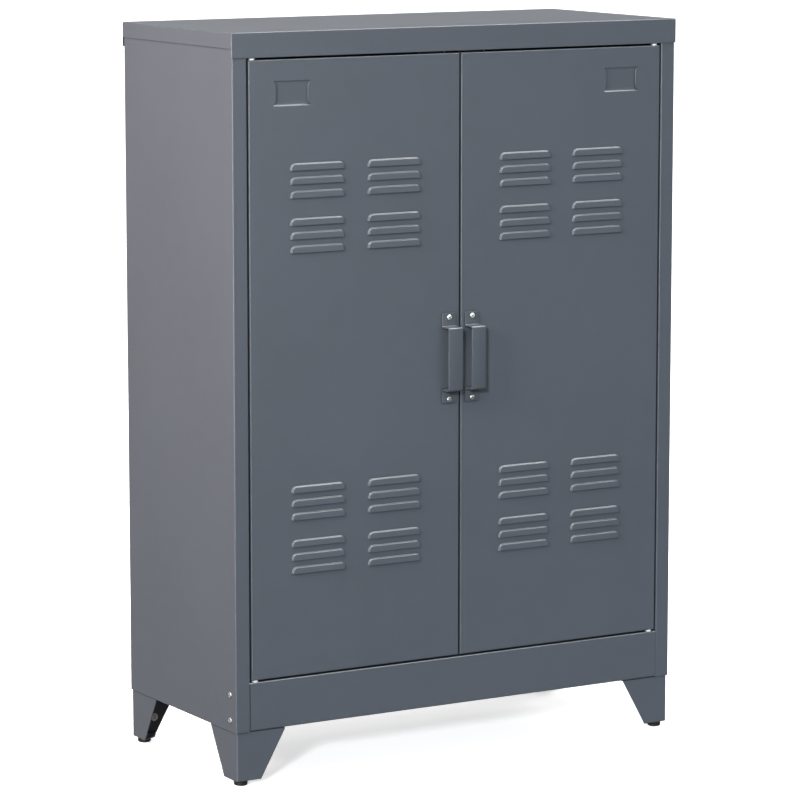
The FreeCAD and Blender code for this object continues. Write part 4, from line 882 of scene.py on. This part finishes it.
# Places from the cabinet's middle, the front plane and the floor
HANDLE_SCREW_X, HANDLE_SCREW_Z = 21 * MM, np.array([572.1, 700.1]) * MM
SIDE_FACE, STILE_INSIDE = 398.5 * MM, 396.9 * MM
SIDE_SCREW_Y, SIDE_SCREW_Z = 19.7 * MM, np.array([101.6, 141.6]) * MM
BACK_FACE, BACK_SCREW_X, BACK_SCREW_Z = 357 * MM, 388.5 * MM, np.arange(200, 1061, 215) * MM
BACK_BASE_X, BACK_BASE_Z = np.array([-240, 0, 240]) * MM, 123.5 * MM
LID_SCREW_X, LID_FACE, LID_SCREW_Z = np.array([-300, 0, 300]) * MM, 358.5 * MM, 1129.2 * MM
CATCH_SCREW_X = np.array([-58, -14, 14, 58]) * MM
CATCH_SCREW_Y, CATCH_FACE = 27.5 * MM, 1109.2 * MM
REAR_LEG_X, REAR_LEG_FACE, REAR_LEG_Z = 358.4 * MM, 353.7 * MM, 34.4 * MM
LEG_BOLT_X, LEG_BOLT_Y = 386.7 * MM, np.array([31.8, 63.8, 293.2, 325.2]) * MM
LEG_BOLT_FACE, LEG_NUT_FACE = 83.5 * MM, 85.8 * MM
FOOT_X, FOOT_NUT_FACE = 382.7 * MM, 10 * MM
FOOT_Y = {"front": 15.8 * MM, "rear": 341.2 * MM}

# Head's radius and height, shank's radius and length, span of the recess, flange's height
handle_screw = cross_screw(4.2 * MM, 2.4 * MM, SCREW_RADIUS, 7 * MM, 4.4 * MM)
side_screw = cross_screw(5 * MM, 1.5 * MM, SCREW_RADIUS, 5.8 * MM, 4.6 * MM)
back_screw = cross_screw(4.2 * MM, 1.5 * MM, SCREW_RADIUS, 5 * MM, 4.4 * MM)
lid_screw = cross_screw(4.2 * MM, 1.5 * MM, SCREW_RADIUS, 6.5 * MM, 4.4 * MM)
catch_screw = cross_screw(3 * MM, 1.8 * MM, 1.6 * MM, 7 * MM, 3 * MM)
washer_screw = cross_screw(6.5 * MM, 2 * MM, BOLT_RADIUS, 3.5 * MM, 7.2 * MM, 0.8 * MM)
# Width over flats, height, radius of the bore or shank, length of the shank
small_nut = hex_nut(7 * MM, 3.2 * MM, SCREW_RADIUS)
large_nut = hex_nut(10 * MM, 5 * MM, BOLT_RADIUS)
leg_bolt = hex_bolt(10 * MM, 4 * MM, BOLT_RADIUS, 8.3 * MM)
# Radius, height of its top and of its tip, width and depth of the driver slot
foot_stud = slotted_stud(BOLT_RADIUS, 32.5 * MM, 2.5 * MM, 1.2 * MM, 2 * MM)

for side, x in (("left", -HANDLE_SCREW_X), ("right", HANDLE_SCREW_X)):
    fasten(f"{side}_handle_bright_screws", f"{side}_door_body", handle_screw,
           [(x, -HANDLE_GAUGE, z, "front") for z in HANDLE_SCREW_Z],
           f"{side}_handle_screws", turn=2.4)
    fasten(f"{side}_handle_hex_nuts", f"{side}_door_body", small_nut,
           [(x, SHEET, z, "back") for z in HANDLE_SCREW_Z], f"{side}_handle_nuts")
fasten("side_bright_screws", "carcass", side_screw,
       both_sides(SIDE_FACE, [SIDE_SCREW_Y], SIDE_SCREW_Z, "left", "right"),
       "side_screws", turn=1.9)
fasten("side_hex_nuts", "carcass", small_nut,
       both_sides(STILE_INSIDE, [SIDE_SCREW_Y], SIDE_SCREW_Z, "right", "left"),
       "side_screw_nuts")
fasten("back_bright_screws", "carcass", back_screw,
       both_sides(BACK_SCREW_X, [BACK_FACE], BACK_SCREW_Z, "back")
       + [(x, BACK_FACE, BACK_BASE_Z, "back") for x in BACK_BASE_X],
       "back_panel_screws", turn=2.4)
fasten("lid_bright_screws", "carcass", lid_screw,
       [(x, LID_FACE, LID_SCREW_Z, "back") for x in LID_SCREW_X], "lid_screws", turn=1.7)
fasten("catch_bright_screws", "carcass", catch_screw,
       [(x, CATCH_SCREW_Y, CATCH_FACE, "down") for x in CATCH_SCREW_X],
       "catch_screws", turn=2.1)
fasten("rear_leg_washer_screws", "carcass", washer_screw,
       both_sides(REAR_LEG_X, [REAR_LEG_FACE], [REAR_LEG_Z], "front"),
       "rear_leg_screws", turn=0.5)
fasten("leg_hex_bolts", "carcass", leg_bolt,
       both_sides(LEG_BOLT_X, LEG_BOLT_Y, [LEG_BOLT_FACE], "down"), "leg_bolts")
fasten("leg_hex_nuts", "carcass", large_nut,
       both_sides(LEG_BOLT_X, LEG_BOLT_Y, [LEG_NUT_FACE], "up"), "leg_nuts")
fasten("foot_hex_nuts", "carcass", large_nut,
       both_sides(FOOT_X, FOOT_Y.values(), [FOOT_NUT_FACE], "up"), "foot_nuts")
for end, y in FOOT_Y.items():
    for side, x in (("left", -FOOT_X), ("right", FOOT_X)):
        fasten(f"{end}_{side}_threaded_stud", f"{end}_{side}_foot", foot_stud,
               [(x, y, 0, "up")], f"{end}_{side}_stud", turn=0.8)
